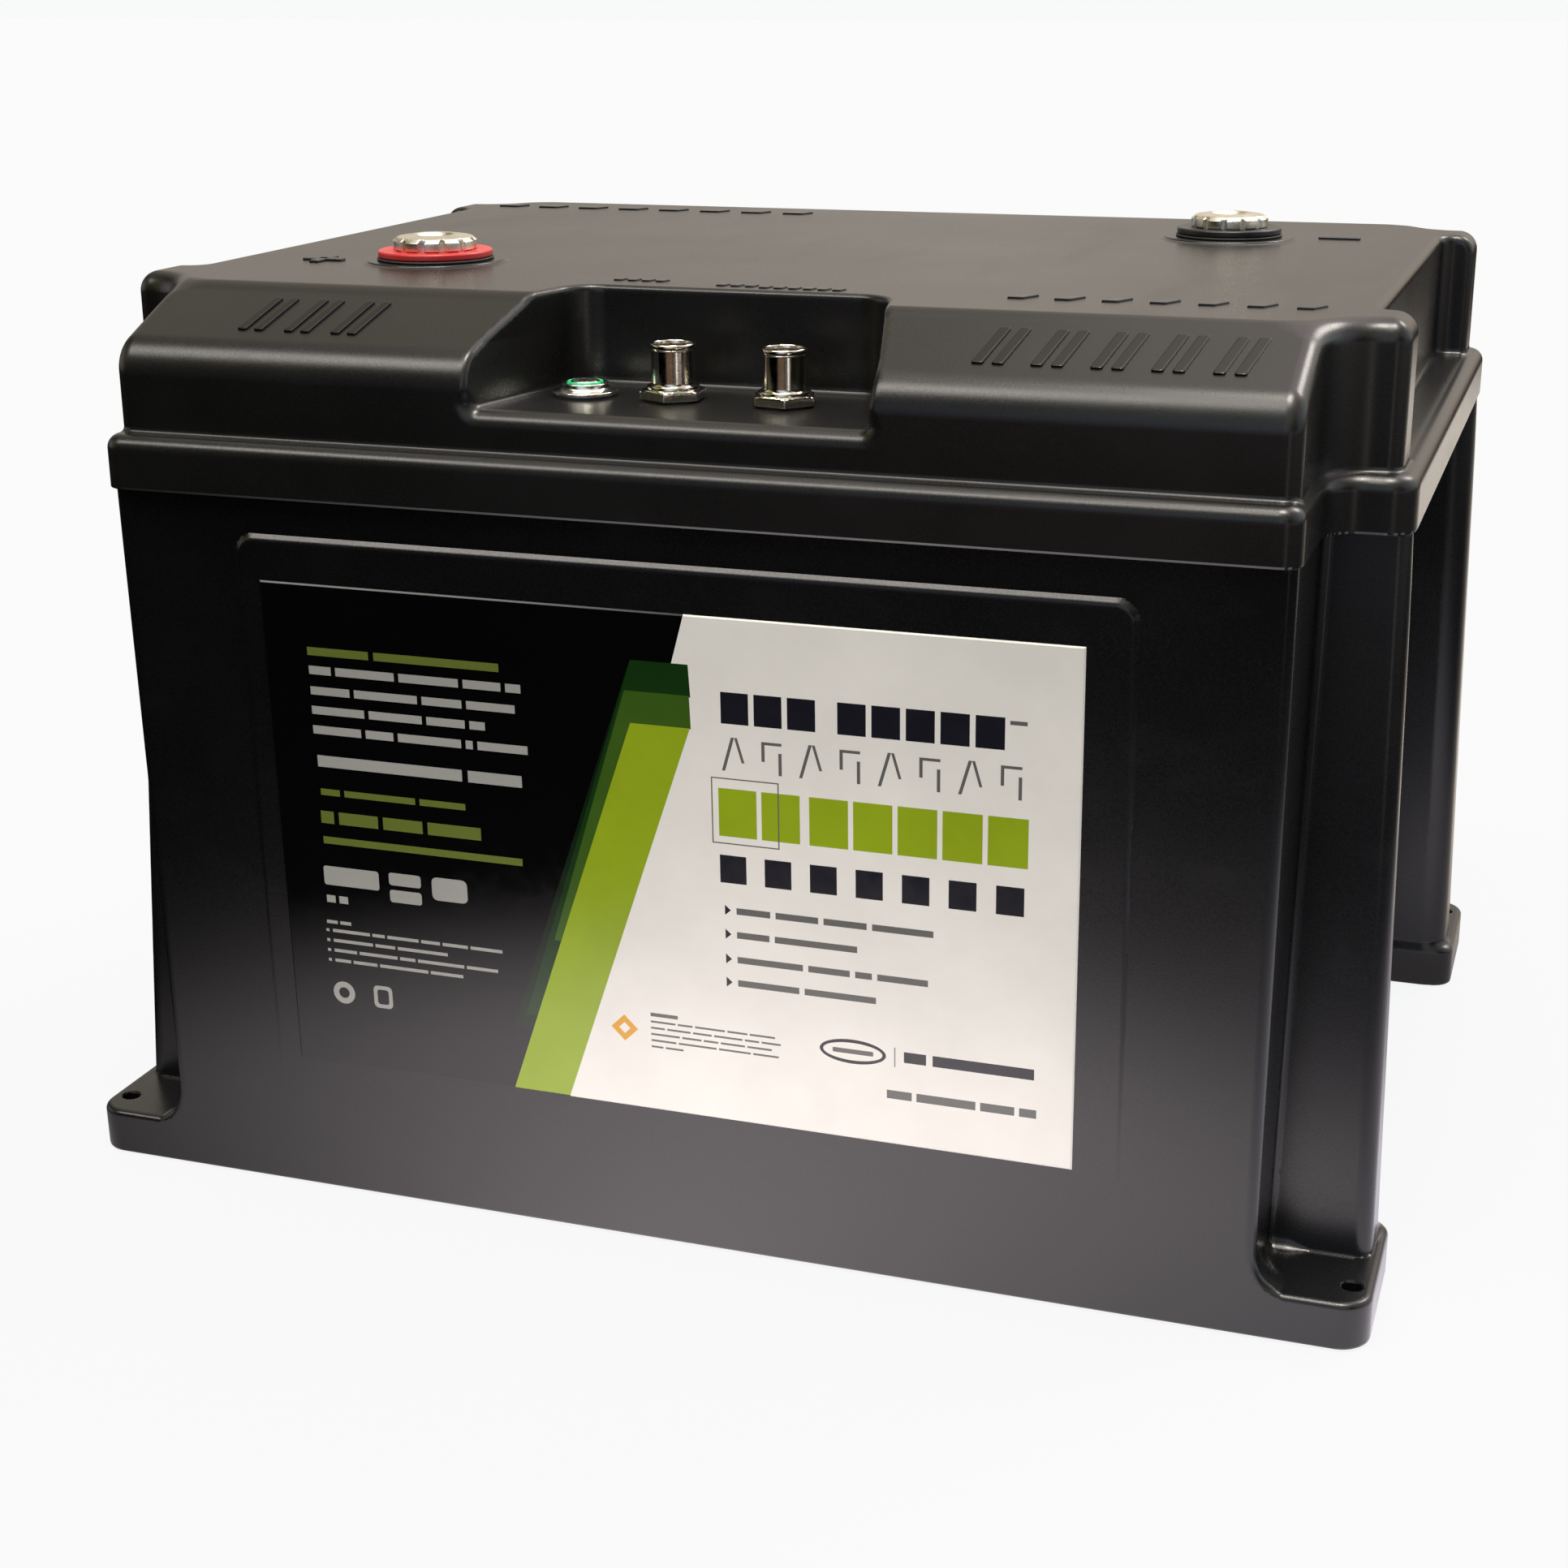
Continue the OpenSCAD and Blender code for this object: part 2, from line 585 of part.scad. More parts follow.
// fixed ends of the main cables
positive_post = [cell_x(0), -post_y, busbar_z];
negative_post = [cell_x(3), -post_y, busbar_z];
positive_lug = [-term_x, -term_y, term_lug_z];
negative_lug = [term_x, term_y, term_lug_z];

// flat lug; its tongue points to -Y or +Y by side
module lug(at, side, hole_r, r, thick) translate(at) difference() {
  union() {
    cylinder(r = r, h = thick);
    rotate(90 * side) translate([0, -cable_r, 0]) cube([r + 9, 2 * cable_r, thick]);
  }
  lift(-1) cylinder(r = hole_r, h = thick + 2);
}
module post_lug(at) lug(at, -1, stud_hole_r, 9, busbar_thick);
module terminal_lug(at, side) lug(at, side, stem_r + 0.15, 13, 2.5);
// last bend of a cable, into a terminal lug
function lug_bend(at, side, start_z) = curve([at + [0, 41 * side, start_z],
  at + [0, 39 * side, -4], at + [0, 30 * side, -4.5], at + [0, 17 * side, -4.5]], 10);

module positive_cable() color([0.75, 0.12, 0.10]) {
  p = positive_post;
  q = positive_lug;
  post_lug(p);
  terminal_lug(q, -1);
  wire(concat(
    curve([p + [0, -14, 5.6], p + [0, -30, 6], p + [-4, -46, 6], p + [-6, -46, 40]], 14),
    curve([p + [-6, -46, 48], p + [-10, -46, 90], q + [0, -44, -50], q + [0, -42, -22]], 14),
    lug_bend(q, -1, -16)), cable_r, [1, 0, 0]);
}
module negative_cable() color(black) {
  q = negative_lug;
  terminal_lug(q, 1);
  wire(concat(
    curve([[66, 9, board_cable_z], [92, 9, board_cable_z],
      [104, 30, board_z + 7], [104, 70, board_z + 9]], 14),
    curve([[104, 76, board_z + 9.6], [104, 108, board_z + 14],
      q + [0, 46, -60], q + [0, 42, -26]], 14),
    lug_bend(q, 1, -20)), cable_r, [0, 1, 0]);
}
module pack_negative_cable() color(black) {
  p = negative_post;
  post_lug(p);
  wire(concat(
    curve([p + [0, -14, 5.6], p + [0, -30, 6], p + [0, -44, 5], p + [1, -46, 18]], 12),
    curve([p + [2, -46, 23], [cell_x(3) + 8, -98, board_z + 14],
      [106, -74, board_z + 8], [106, -42, board_z + 7]], 12),
    curve([[106, -37, board_z + 6.9], [106, -14, board_cable_z],
      [92, -9, board_cable_z], [66, -9, board_cable_z]], 12)), cable_r, [1, 0, 0]);
}
// thin wire along one curve
module lead(controls, n, r, sides_round) wire(curve(controls, n), r, [1, 0.1, 0], sides_round);
module port_harness() color([0.13, 0.13, 0.14])
  for (ends = [[port_a_x, connectors[1][0]], [port_b_x, connectors[2][0]]])
    lead([[ends[0], -port_y, recess_z - 17.5], [ends[0], -port_y, recess_z - 50],
      [ends[1], -74, plug_z], [ends[1], -50.5, plug_z]], 20, 2.6, 12);
module button_harness() color([0.15, 0.35, 0.18]) for (s = sides) {
  x = button_x + contact_x * s;
  plug_x = -39 + 1.5 * s;
  lead([[x, -port_y, recess_z - 27.5], [x, -port_y, recess_z - 60],
    [plug_x, -95, board_z + 30], [plug_x, -51, plug_z]], 18, 1, 8);
}
module heater_harness() color([0.55, 0.10, 0.10]) for (s = sides) {
  x = 20 + 3 * s;
  plug_x = connectors[3][0] + 2 * s;
  lead([[x, -pack_y - 4.6, cell_top - 14], [x, -pack_y - 12, cell_top + 30],
    [plug_x, -92, board_z + 16], [plug_x, -51, plug_z]], 18, 1, 8);
}
module balance_harness() color([0.80, 0.70, 0.15]) for (k = [0:2]) {
  plug_x = -50 + 2.8 * k;
  lead([[cell_x(k) + 14, -pack_y - 6 - 2 * k, cell_top + 3],
    [cell_x(k) + 10, -pack_y - 18, cell_top + 20],
    [plug_x, -86, board_z + 12], [plug_x, -50.6, board_z + 8.2]], 18, 0.6, 8);
}

case_tub();
case_lid();
lid_gasket();
front_label();
positive_terminal();
negative_terminal();
positive_ring();
negative_ring();
positive_seal();
negative_seal();
terminal_nuts();
port_a_shell();
port_b_shell();
port_a_insert();
port_b_insert();
port_pins();
port_nuts();
port_seals();
button_bezel();
button_cap();
button_light_ring();
button_spring();
button_nut();
button_seal();
button_contact_block();
cell_1();
cell_2();
cell_3();
cell_4();
cell_posts();
busbars();
busbar_nuts();
cell_spacers();
end_plates();
pack_straps();
base_pad();
heater_pads();
foam_blocks();
bms_tray();
tray_screws();
bms_standoffs();
bms_board();
bms_transistors();
bms_heatsink();
bms_screws();
bms_capacitors();
bms_connectors();
positive_cable();
negative_cable();
pack_negative_cable();
port_harness();
button_harness();
heater_harness();
balance_harness();
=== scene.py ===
import json
import math

import bmesh
import bpy
import numpy as np
from mathutils import Matrix, Vector
from mathutils.geometry import delaunay_2d_cdt


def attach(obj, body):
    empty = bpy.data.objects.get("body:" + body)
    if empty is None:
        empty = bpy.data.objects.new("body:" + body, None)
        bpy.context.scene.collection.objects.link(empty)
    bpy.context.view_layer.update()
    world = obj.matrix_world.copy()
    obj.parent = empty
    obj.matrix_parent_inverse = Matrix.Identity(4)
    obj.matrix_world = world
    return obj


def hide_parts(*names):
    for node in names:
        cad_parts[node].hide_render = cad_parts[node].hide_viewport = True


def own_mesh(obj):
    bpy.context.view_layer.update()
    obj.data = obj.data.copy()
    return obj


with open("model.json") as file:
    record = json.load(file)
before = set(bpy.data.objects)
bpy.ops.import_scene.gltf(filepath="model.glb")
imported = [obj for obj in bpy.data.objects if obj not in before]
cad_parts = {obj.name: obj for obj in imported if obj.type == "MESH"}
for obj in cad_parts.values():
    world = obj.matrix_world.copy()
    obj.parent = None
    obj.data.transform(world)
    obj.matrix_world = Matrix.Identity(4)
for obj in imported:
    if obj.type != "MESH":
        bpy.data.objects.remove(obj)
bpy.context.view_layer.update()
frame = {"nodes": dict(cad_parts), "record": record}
NODES = frame["nodes"]
M = 0.001  # the shapes below are worked out in millimetres


# --------------------------------------------------------------------------
# materials
# --------------------------------------------------------------------------
class Mat:
    """A node tree with a Principled shader and shape coordinates in millimetres."""

    def __init__(self, name):
        self.m = bpy.data.materials.new(name)
        self.m.use_nodes = True
        self.t = self.m.node_tree
        self.t.nodes.clear()
        self.out = self.t.nodes.new("ShaderNodeOutputMaterial")
        self.p = self.t.nodes.new("ShaderNodeBsdfPrincipled")
        self.t.links.new(self.p.outputs[0], self.out.inputs[0])
        tc = self.t.nodes.new("ShaderNodeTexCoord")
        vm = self.t.nodes.new("ShaderNodeVectorMath")
        vm.operation = "SCALE"
        vm.inputs["Scale"].default_value = 1000.0
        self.t.links.new(tc.outputs["Object"], vm.inputs[0])
        self.mm = vm.outputs[0]
        self.bump_in = None

    def set(self, **k):
        for n, v in k.items():
            s = self.p.inputs[n.replace("_", " ")]
            if isinstance(v, bpy.types.NodeSocket):
                self.t.links.new(v, s)
            else:
                s.default_value = v if not isinstance(v, tuple) or len(v) == 4 else (*v, 1)
        return self

    def node(self, kind, **k):
        n = self.t.nodes.new(kind)
        for a, v in k.items():
            if a.startswith("i_"):
                s = n.inputs[int(a[2:])] if a[2:].isdigit() else n.inputs[a[2:].replace("_", " ")]
                if isinstance(v, bpy.types.NodeSocket):
                    self.t.links.new(v, s)
                else:
                    s.default_value = v
            else:
                setattr(n, a, v)
        return n

    def stretch(self, sx, sy, sz):
        return self.node("ShaderNodeVectorMath", operation="MULTIPLY", i_0=self.mm, i_1=(sx, sy, sz)).outputs[0]

    def noise(self, scale, detail=3.0, rough=0.55, vec=None, warp=0.0):
        return self.node("ShaderNodeTexNoise", i_Vector=vec or self.mm, i_Scale=scale, i_Detail=detail, i_Roughness=rough, i_Distortion=warp).outputs[0]

    def cells(self, scale, vec=None, feature="F1"):
        return self.node("ShaderNodeTexVoronoi", feature=feature, i_Vector=vec or self.mm, i_Scale=scale).outputs[0]

    def remap(self, v, a, b, c, d):
        return self.node("ShaderNodeMapRange", i_0=v, i_1=a, i_2=b, i_3=c, i_4=d).outputs[0]

    def ramp(self, v, stops):
        n = self.node("ShaderNodeValToRGB", i_0=v)
        e = n.color_ramp.elements
        while len(e) < len(stops):
            e.new(0.5)
        for s, (at, col) in zip(e, stops):
            s.position = at
            s.color = (*col, 1)
        return n.outputs[0]

    def mix(self, f, a, b, kind="MIX"):
        n = self.node("ShaderNodeMix", data_type="RGBA", blend_type=kind)
        for s, v in ((n.inputs[0], f), (n.inputs[6], a), (n.inputs[7], b)):
            if isinstance(v, bpy.types.NodeSocket):
                self.t.links.new(v, s)
            else:
                s.default_value = v if not isinstance(v, tuple) or len(v) == 4 else (*v, 1)
        return n.outputs[2]

    def math(self, op, a, b=0.0):
        return self.node("ShaderNodeMath", operation=op, i_0=a, i_1=b).outputs[0]

    def bump(self, height, strength, dist_mm):
        n = self.node("ShaderNodeBump", i_Strength=strength, i_Distance=dist_mm * M, i_Height=height)
        if self.bump_in:
            self.t.links.new(self.bump_in, n.inputs["Normal"])
        self.bump_in = n.outputs[0]
        self.t.links.new(self.bump_in, self.p.inputs["Normal"])
        return self


def shade(c, k):
    return tuple(min(1.0, max(0.0, x * k)) for x in c)


def plastic(name, base, rough, grain=1.6, depth=0.05, spec=0.5, spread=0.15, scuff=0.03):
    """Moulded plastic: spark-eroded grain, cloudy sheen, faint scuffs and dust."""
    m = Mat(name)
    cloud = m.noise(0.018, 4, 0.6)
    fine = m.noise(grain, 2, 0.6)
    col = m.mix(m.remap(cloud, 0.3, 0.7, 0, 1), shade(base, 1 - spread), shade(base, 1 + spread))
    dust = m.remap(m.noise(0.9, 5, 0.75), 0.62, 0.8, 0, 0.08)
    col = m.mix(dust, col, tuple(min(1, x * 2 + 0.03) for x in base))
    marks = m.noise(0.05, 3, 0.5, vec=m.stretch(1, 0.22, 1.7))
    r = m.math("ADD", m.remap(cloud, 0.25, 0.75, rough - 0.02, rough + 0.02), m.remap(marks, 0.55, 0.75, 0, scuff))
    r = m.math("ADD", r, m.remap(fine, 0.3, 0.7, -0.03, 0.03))
    m.set(Base_Color=col, Roughness=r, Specular_IOR_Level=spec)
    m.bump(fine, 0.35, depth)
    return m.m


def metal(name, base, rough, lines=0.0, axis=2, tint=None, wear=0.10, polish=True):
    """Plated or machined metal: tool lines, haze, small stains."""
    m = Mat(name)
    haze = m.noise(0.5, 4, 0.6)
    stain = m.noise(0.16, 5, 0.65)
    col = m.mix(m.remap(stain, 0.45, 0.75, 0, 1), base, tint or shade(base, 0.72))
    m.set(Metallic=1.0, Base_Color=col)
    r = m.remap(haze, 0.3, 0.75, max(0.02, rough - 0.05), rough + wear)
    if lines:
        s = [0.25, 0.25, 0.25]
        s[axis] = 9.0
        cut = m.noise(lines, 2, 0.5, vec=m.stretch(*s))
        r = m.math("ADD", r, m.remap(cut, 0.35, 0.65, -0.03, 0.06))
        m.bump(cut, 0.25, 0.03)
    m.set(Roughness=r)
    m.bump(haze, 0.05, 0.05)
    return m.m


def rubber(name, base, rough=0.6, grain=2.2):
    m = Mat(name)
    a = m.noise(grain, 3, 0.6)
    b = m.noise(0.1, 4, 0.6)
    m.set(Base_Color=m.mix(m.remap(b, 0.3, 0.7, 0, 1), shade(base, 0.7), shade(base, 1.3)), Roughness=m.remap(a, 0.3, 0.7, rough - 0.1, rough + 0.12))
    m.bump(a, 0.3, 0.06)
    return m.m


def film(name, base, rough=0.16, spread=0.05, grain=0.35):
    """Printed gloss film, with the ink's slight mottle and the film's orange peel."""
    m = Mat(name)
    a = m.noise(grain, 3, 0.5)
    b = m.noise(0.03, 4, 0.6)
    m.set(Base_Color=m.mix(m.remap(b, 0.3, 0.7, 0, 1), shade(base, 1 - spread), shade(base, 1 + spread)), Roughness=m.remap(m.noise(0.2, 4, 0.6), 0.3, 0.75, rough - 0.04, rough + 0.06), Specular_IOR_Level=0.4, Coat_Weight=0.08, Coat_Roughness=0.08)
    m.bump(a, 0.05, 0.05)
    return m.m


def foam(name, base):
    m = Mat(name)
    c = m.cells(0.9)
    m.set(Base_Color=m.mix(m.remap(c, 0, 0.9, 0, 1), shade(base, 0.45), shade(base, 1.25)), Roughness=0.92)
    m.bump(c, 0.7, 0.5)
    return m.m


def woven(name, base, pitch=1.2):
    m = Mat(name)
    w1 = m.node("ShaderNodeTexWave", bands_direction="Z", i_Vector=m.mm, i_Scale=0.3 / pitch).outputs[1]
    w2 = m.node("ShaderNodeTexWave", bands_direction="DIAGONAL", i_Vector=m.mm, i_Scale=0.3 / pitch).outputs[1]
    w = m.math("MULTIPLY", w1, w2)
    m.set(Base_Color=m.mix(m.remap(w, 0, 1, 0, 1), shade(base, 0.5), shade(base, 1.5)), Roughness=m.remap(w, 0, 1, 0.75, 0.5))
    m.bump(w, 0.5, 0.25)
    return m.m


def solder_mask(name, base):
    m = Mat(name)
    v = m.stretch(1, 1, 0.05)
    grid = m.node("ShaderNodeTexBrick", i_Vector=v, i_Scale=0.16, i_2=(0.6, 0.6, 0.6, 1), i_3=(0.0, 0.0, 0.0, 1)).outputs[1]
    cloud = m.noise(0.12, 4, 0.6)
    col = m.mix(m.remap(cloud, 0.3, 0.7, 0, 1), shade(base, 0.75), shade(base, 1.3))
    col = m.mix(m.remap(grid, 0, 1, 0, 0.45), col, shade(base, 2.2))
    m.set(Base_Color=col, Roughness=m.remap(cloud, 0.3, 0.7, 0.22, 0.36))
    m.bump(grid, 0.25, 0.05)
    return m.m


def glow(name, base, power):
    """A lit ring: bright where the lamp sits behind it, with moulded ripples."""
    m = Mat(name)
    n = m.noise(0.45, 3, 0.6)
    rip = m.noise(1.4, 2, 0.5)
    m.set(Base_Color=m.mix(m.remap(n, 0.35, 0.7, 0, 1), shade(base, 0.5), base), Roughness=m.remap(rip, 0.3, 0.7, 0.18, 0.34), Emission_Color=m.mix(m.remap(n, 0.4, 0.66, 0, 1), shade(base, 0.35), tuple(min(1, x + 0.15) for x in base)), Emission_Strength=power)
    m.bump(rip, 0.3, 0.06)
    return m.m


# case plastics
MAT = {}
# the tub's copy of the black plastic is darker and bluer than the lid's: painted shade standing in for the shadowed
# tub walls
MAT["case_black"] = plastic("case_plastic_painted_shade", (0.0032, 0.0032, 0.0038), 0.27, 1.7, 0.03, 0.5)
MAT["lid_black"] = plastic("lid_plastic", (0.0060, 0.0058, 0.0056), 0.29, 1.7, 0.035, 0.5)
MAT["relief"] = plastic("relief_plastic", (0.004, 0.004, 0.0043), 0.24, 2.2, 0.015, 0.36)
MAT["gasket"] = rubber("gasket_rubber", (0.05, 0.05, 0.05))
MAT["label"] = film("label_white", (0.84, 0.82, 0.775), 0.2)
MAT["label_gloss"] = film("label_black_gloss", (0.0018, 0.0018, 0.0022), 0.10)
MAT["label_lime"] = film("label_lime", (0.29, 0.40, 0.014), 0.16, 0.08)
MAT["label_mid"] = film("label_mid_green", (0.045, 0.105, 0.012), 0.16, 0.10)
MAT["label_deep"] = film("label_deep_green", (0.008, 0.035, 0.006), 0.16, 0.10)
MAT["label_shade"] = film("label_shade_green", (0.004, 0.014, 0.004), 0.16, 0.10)
MAT["label_ink"] = film("label_dark_ink", (0.010, 0.010, 0.016), 0.20)
MAT["label_grey"] = film("label_grey_ink", (0.12, 0.12, 0.115), 0.20)
MAT["label_text"] = film("label_pale_ink", (0.36, 0.36, 0.34), 0.20)
MAT["label_olive"] = film("label_olive_ink", (0.13, 0.17, 0.03), 0.20)
MAT["label_amber"] = film("label_amber", (0.75, 0.36, 0.03), 0.20)
MAT["terminal_metal"] = metal("terminal_nickel", (0.86, 0.82, 0.70), 0.24, 3.0, 2)
MAT["thread_metal"] = metal("terminal_thread", (0.62, 0.58, 0.50), 0.22)
MAT["ring_red"] = plastic("ring_red_plastic", (0.50, 0.028, 0.030), 0.34, 2.0, 0.03, 0.5, 0.10, 0.05)
MAT["ring_black"] = plastic("ring_black_plastic", (0.009, 0.009, 0.010), 0.36, 2.0, 0.03)
MAT["seal_rubber"] = rubber("seal_rubber", (0.010, 0.010, 0.010))
MAT["port_metal"] = metal("port_nickel", (0.80, 0.75, 0.67), 0.09, 2.0, 2, (0.62, 0.55, 0.45), 0.06)
MAT["insert_black"] = plastic("port_insert", (0.010, 0.010, 0.010), 0.45)
MAT["pin_gold"] = metal("pin_gold", (0.90, 0.66, 0.26), 0.15)
MAT["button_metal"] = metal("button_nickel", (0.82, 0.80, 0.72), 0.12, 2.5, 2)
MAT["button_cap_metal"] = metal("button_cap", (0.70, 0.70, 0.67), 0.20, 5.0, 1)
MAT["light_green"] = glow("ring_light_green", (0.012, 0.50, 0.17), 0.42)
MAT["spring_steel"] = metal("spring_steel", (0.62, 0.62, 0.64), 0.22, 3.0, 2)
MAT["cell_blue"] = film("cell_wrap_blue", (0.030, 0.085, 0.24), 0.26, 0.15)
MAT["post_aluminium"] = metal("post_aluminium", (0.80, 0.80, 0.82), 0.26, 4.0, 2)
MAT["busbar_copper"] = metal("busbar_copper", (0.85, 0.46, 0.28), 0.26, 3.0, 0, (0.45, 0.20, 0.12))
MAT["spacer_board"] = rubber("spacer_board", (0.50, 0.42, 0.22), 0.8, 1.2)
MAT["plate_aluminium"] = metal("plate_aluminium", (0.74, 0.75, 0.78), 0.36, 4.0, 1)
MAT["strap_black"] = woven("strap_band", (0.022, 0.022, 0.024))
MAT["foam_grey"] = foam("foam_grey", (0.045, 0.045, 0.048))
MAT["heater_film"] = film("heater_film", (0.48, 0.17, 0.02), 0.3, 0.2)
MAT["board_green"] = solder_mask("solder_mask", (0.008, 0.060, 0.022))
MAT["component_black"] = plastic("component_black", (0.014, 0.014, 0.015), 0.5, 3.0, 0.03)
MAT["capacitor_blue"] = film("capacitor_sleeve", (0.015, 0.022, 0.085), 0.24, 0.15)
MAT["connector_white"] = plastic("connector_ivory", (0.62, 0.58, 0.46), 0.45, 1.5, 0.03, 0.5, 0.08)
MAT["cable_red"] = rubber("cable_red", (0.36, 0.018, 0.014), 0.45)
MAT["cable_black"] = rubber("cable_black", (0.016, 0.016, 0.017), 0.45)
MAT["wire_green"] = rubber("wire_green", (0.025, 0.13, 0.035), 0.45)
MAT["wire_yellow"] = rubber("wire_yellow", (0.52, 0.38, 0.03), 0.45)

slot_of = {s["node"]: s.get("material_slot") or s.get("slot") for s in frame["record"]["subparts"] if s.get("node")}


# --------------------------------------------------------------------------
# mesh helpers
# --------------------------------------------------------------------------
def piece(name, verts, faces, mats, body="battery", replaces=(), slot=None, index=None, sharp=32, normals=None, scale=M):
    me = bpy.data.meshes.new(name)
    me.from_pydata([tuple(float(c) * scale for c in v) for v in verts], [], [tuple(int(i) for i in f) for f in faces])
    for m in mats:
        me.materials.append(MAT[m])
    if index is not None:
        me.polygons.foreach_set("material_index", np.asarray(index, np.int32))
    me.validate(verbose=False)
    me.shade_smooth()
    if sharp:
        me.set_sharp_from_angle(angle=math.radians(sharp))
    me.update()
    o = bpy.data.objects.new(name, me)
    bpy.context.scene.collection.objects.link(o)
    even = o.modifiers.new("even", "WEIGHTED_NORMAL")
    even.keep_sharp = True
    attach(o, body)
    if replaces:
        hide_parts(*replaces)
    return o


class Builder:
    """Collects closed islands into one mesh, each with its own material index."""

    def __init__(self):
        self.v, self.f, self.i = [], [], []

    def add(self, verts, faces, index=0):
        n = len(self.v)
        self.v += [tuple(v) for v in verts]
        self.f += [tuple(k + n for k in f) for f in faces]
        self.i += [index] * len(faces) if isinstance(index, int) else list(index)


def loft(levels, n, centre=(0, 0), close=True, caps=True, turn=0.0):
    """Rings of n points. A level is (z, radius) or (z, function of the angle in radians giving a radius)."""
    v, f = [], []
    for z, r in levels:
        for k in range(n):
            a = 2 * math.pi * k / n + turn
            rr = r(a) if callable(r) else r
            v.append((centre[0] + rr * math.cos(a), centre[1] + rr * math.sin(a), z))
    m = len(levels)
    for i in range(m if close else m - 1):
        j = (i + 1) % m
        for k in range(n):
            k2 = (k + 1) % n
            f.append((i * n + k, j * n + k, j * n + k2, i * n + k2))
    if not close and caps:
        f.append(tuple(range(n)))
        f.append(tuple((m - 1) * n + k for k in reversed(range(n))))
    return v, f


def arc(c, r, a0, a1, n=5):
    """Points of a fillet in a (r, z) profile; angles in degrees."""
    return [(c[0] + r * math.cos(math.radians(a0 + (a1 - a0) * i / n)), c[1] + r * math.sin(math.radians(a0 + (a1 - a0) * i / n))) for i in range(n + 1)]


def turned(profile, n=96, centre=(0, 0), close=True):
    """A turned piece from (r, z) points going once round the section, outside first, clockwise."""
    return loft([(z, r) for r, z in profile], n, centre, close)


def block(cx, cy, cz, hx, hy, hz, r, rot=None, seg=3):
    """Box with rounded edges, as a loft of rounded outlines."""
    n = 4 * (seg + 1)
    lv = []
    for i in range(seg + 1):
        a = math.pi / 2 * i / seg
        lv.append((-hz + r - r * math.cos(a), r - r * math.sin(a)))
    lv += [(-z, ins) for z, ins in reversed(lv)]
    v, f = [], []
    for z, ins in lv:
        for q, (sx, sy) in enumerate(((1, 1), (-1, 1), (-1, -1), (1, -1))):
            for s in range(seg + 1):
                a = math.pi / 2 * (q + s / seg)
                rr = max(r - ins, r * 0.05)
                x = sx * (hx - ins - rr) + rr * math.cos(a)
                y = sy * (hy - ins - rr) + rr * math.sin(a)
                v.append(Vector((x, y, z)))
    m = len(lv)
    for i in range(m - 1):
        for k in range(n):
            k2 = (k + 1) % n
            f.append((i * n + k, i * n + k2, (i + 1) * n + k2, (i + 1) * n + k))
    f.append(tuple(reversed(range(n))))
    f.append(tuple((m - 1) * n + k for k in range(n)))
    if rot is not None:
        v = [rot @ p for p in v]
    return [(p[0] + cx, p[1] + cy, p[2] + cz) for p in v], f


# --------------------------------------------------------------------------
# the two mouldings, from distance fields with true fillets
# --------------------------------------------------------------------------
SQ = np.sqrt


def rmax(a, b, r):
    return np.minimum(-r, np.maximum(a, b)) + SQ(np.maximum(a + r, 0) ** 2 + np.maximum(b + r, 0) ** 2)


def rmin(a, b, r):
    return np.maximum(r, np.minimum(a, b)) - SQ(np.maximum(r - a, 0) ** 2 + np.maximum(r - b, 0) ** 2)


def rect(x, y, hx, hy, r):
    qx = np.abs(x) - hx + r
    qy = np.abs(y) - hy + r
    return np.minimum(np.maximum(qx, qy), 0) + SQ(np.maximum(qx, 0) ** 2 + np.maximum(qy, 0) ** 2) - r


def step(a, b, x):
    t = np.clip((x - a) / (b - a), 0, 1)
    return t * t * (3 - 2 * t)


def lines(marks, far, lo, hi, grow=0.28):
    """Grid lines from lo to hi, close together inside the marks (start, end, spacing)."""
    out, t = [lo], lo

    def gap(at):
        return min([far] + [s + grow * max(a - at, at - b, 0) for a, b, s in marks])

    while t < hi:
        s = gap(t)
        s = min(s, max(gap(t + s), 0.3 * s))
        t += s
        out.append(t)
    return np.array(out)


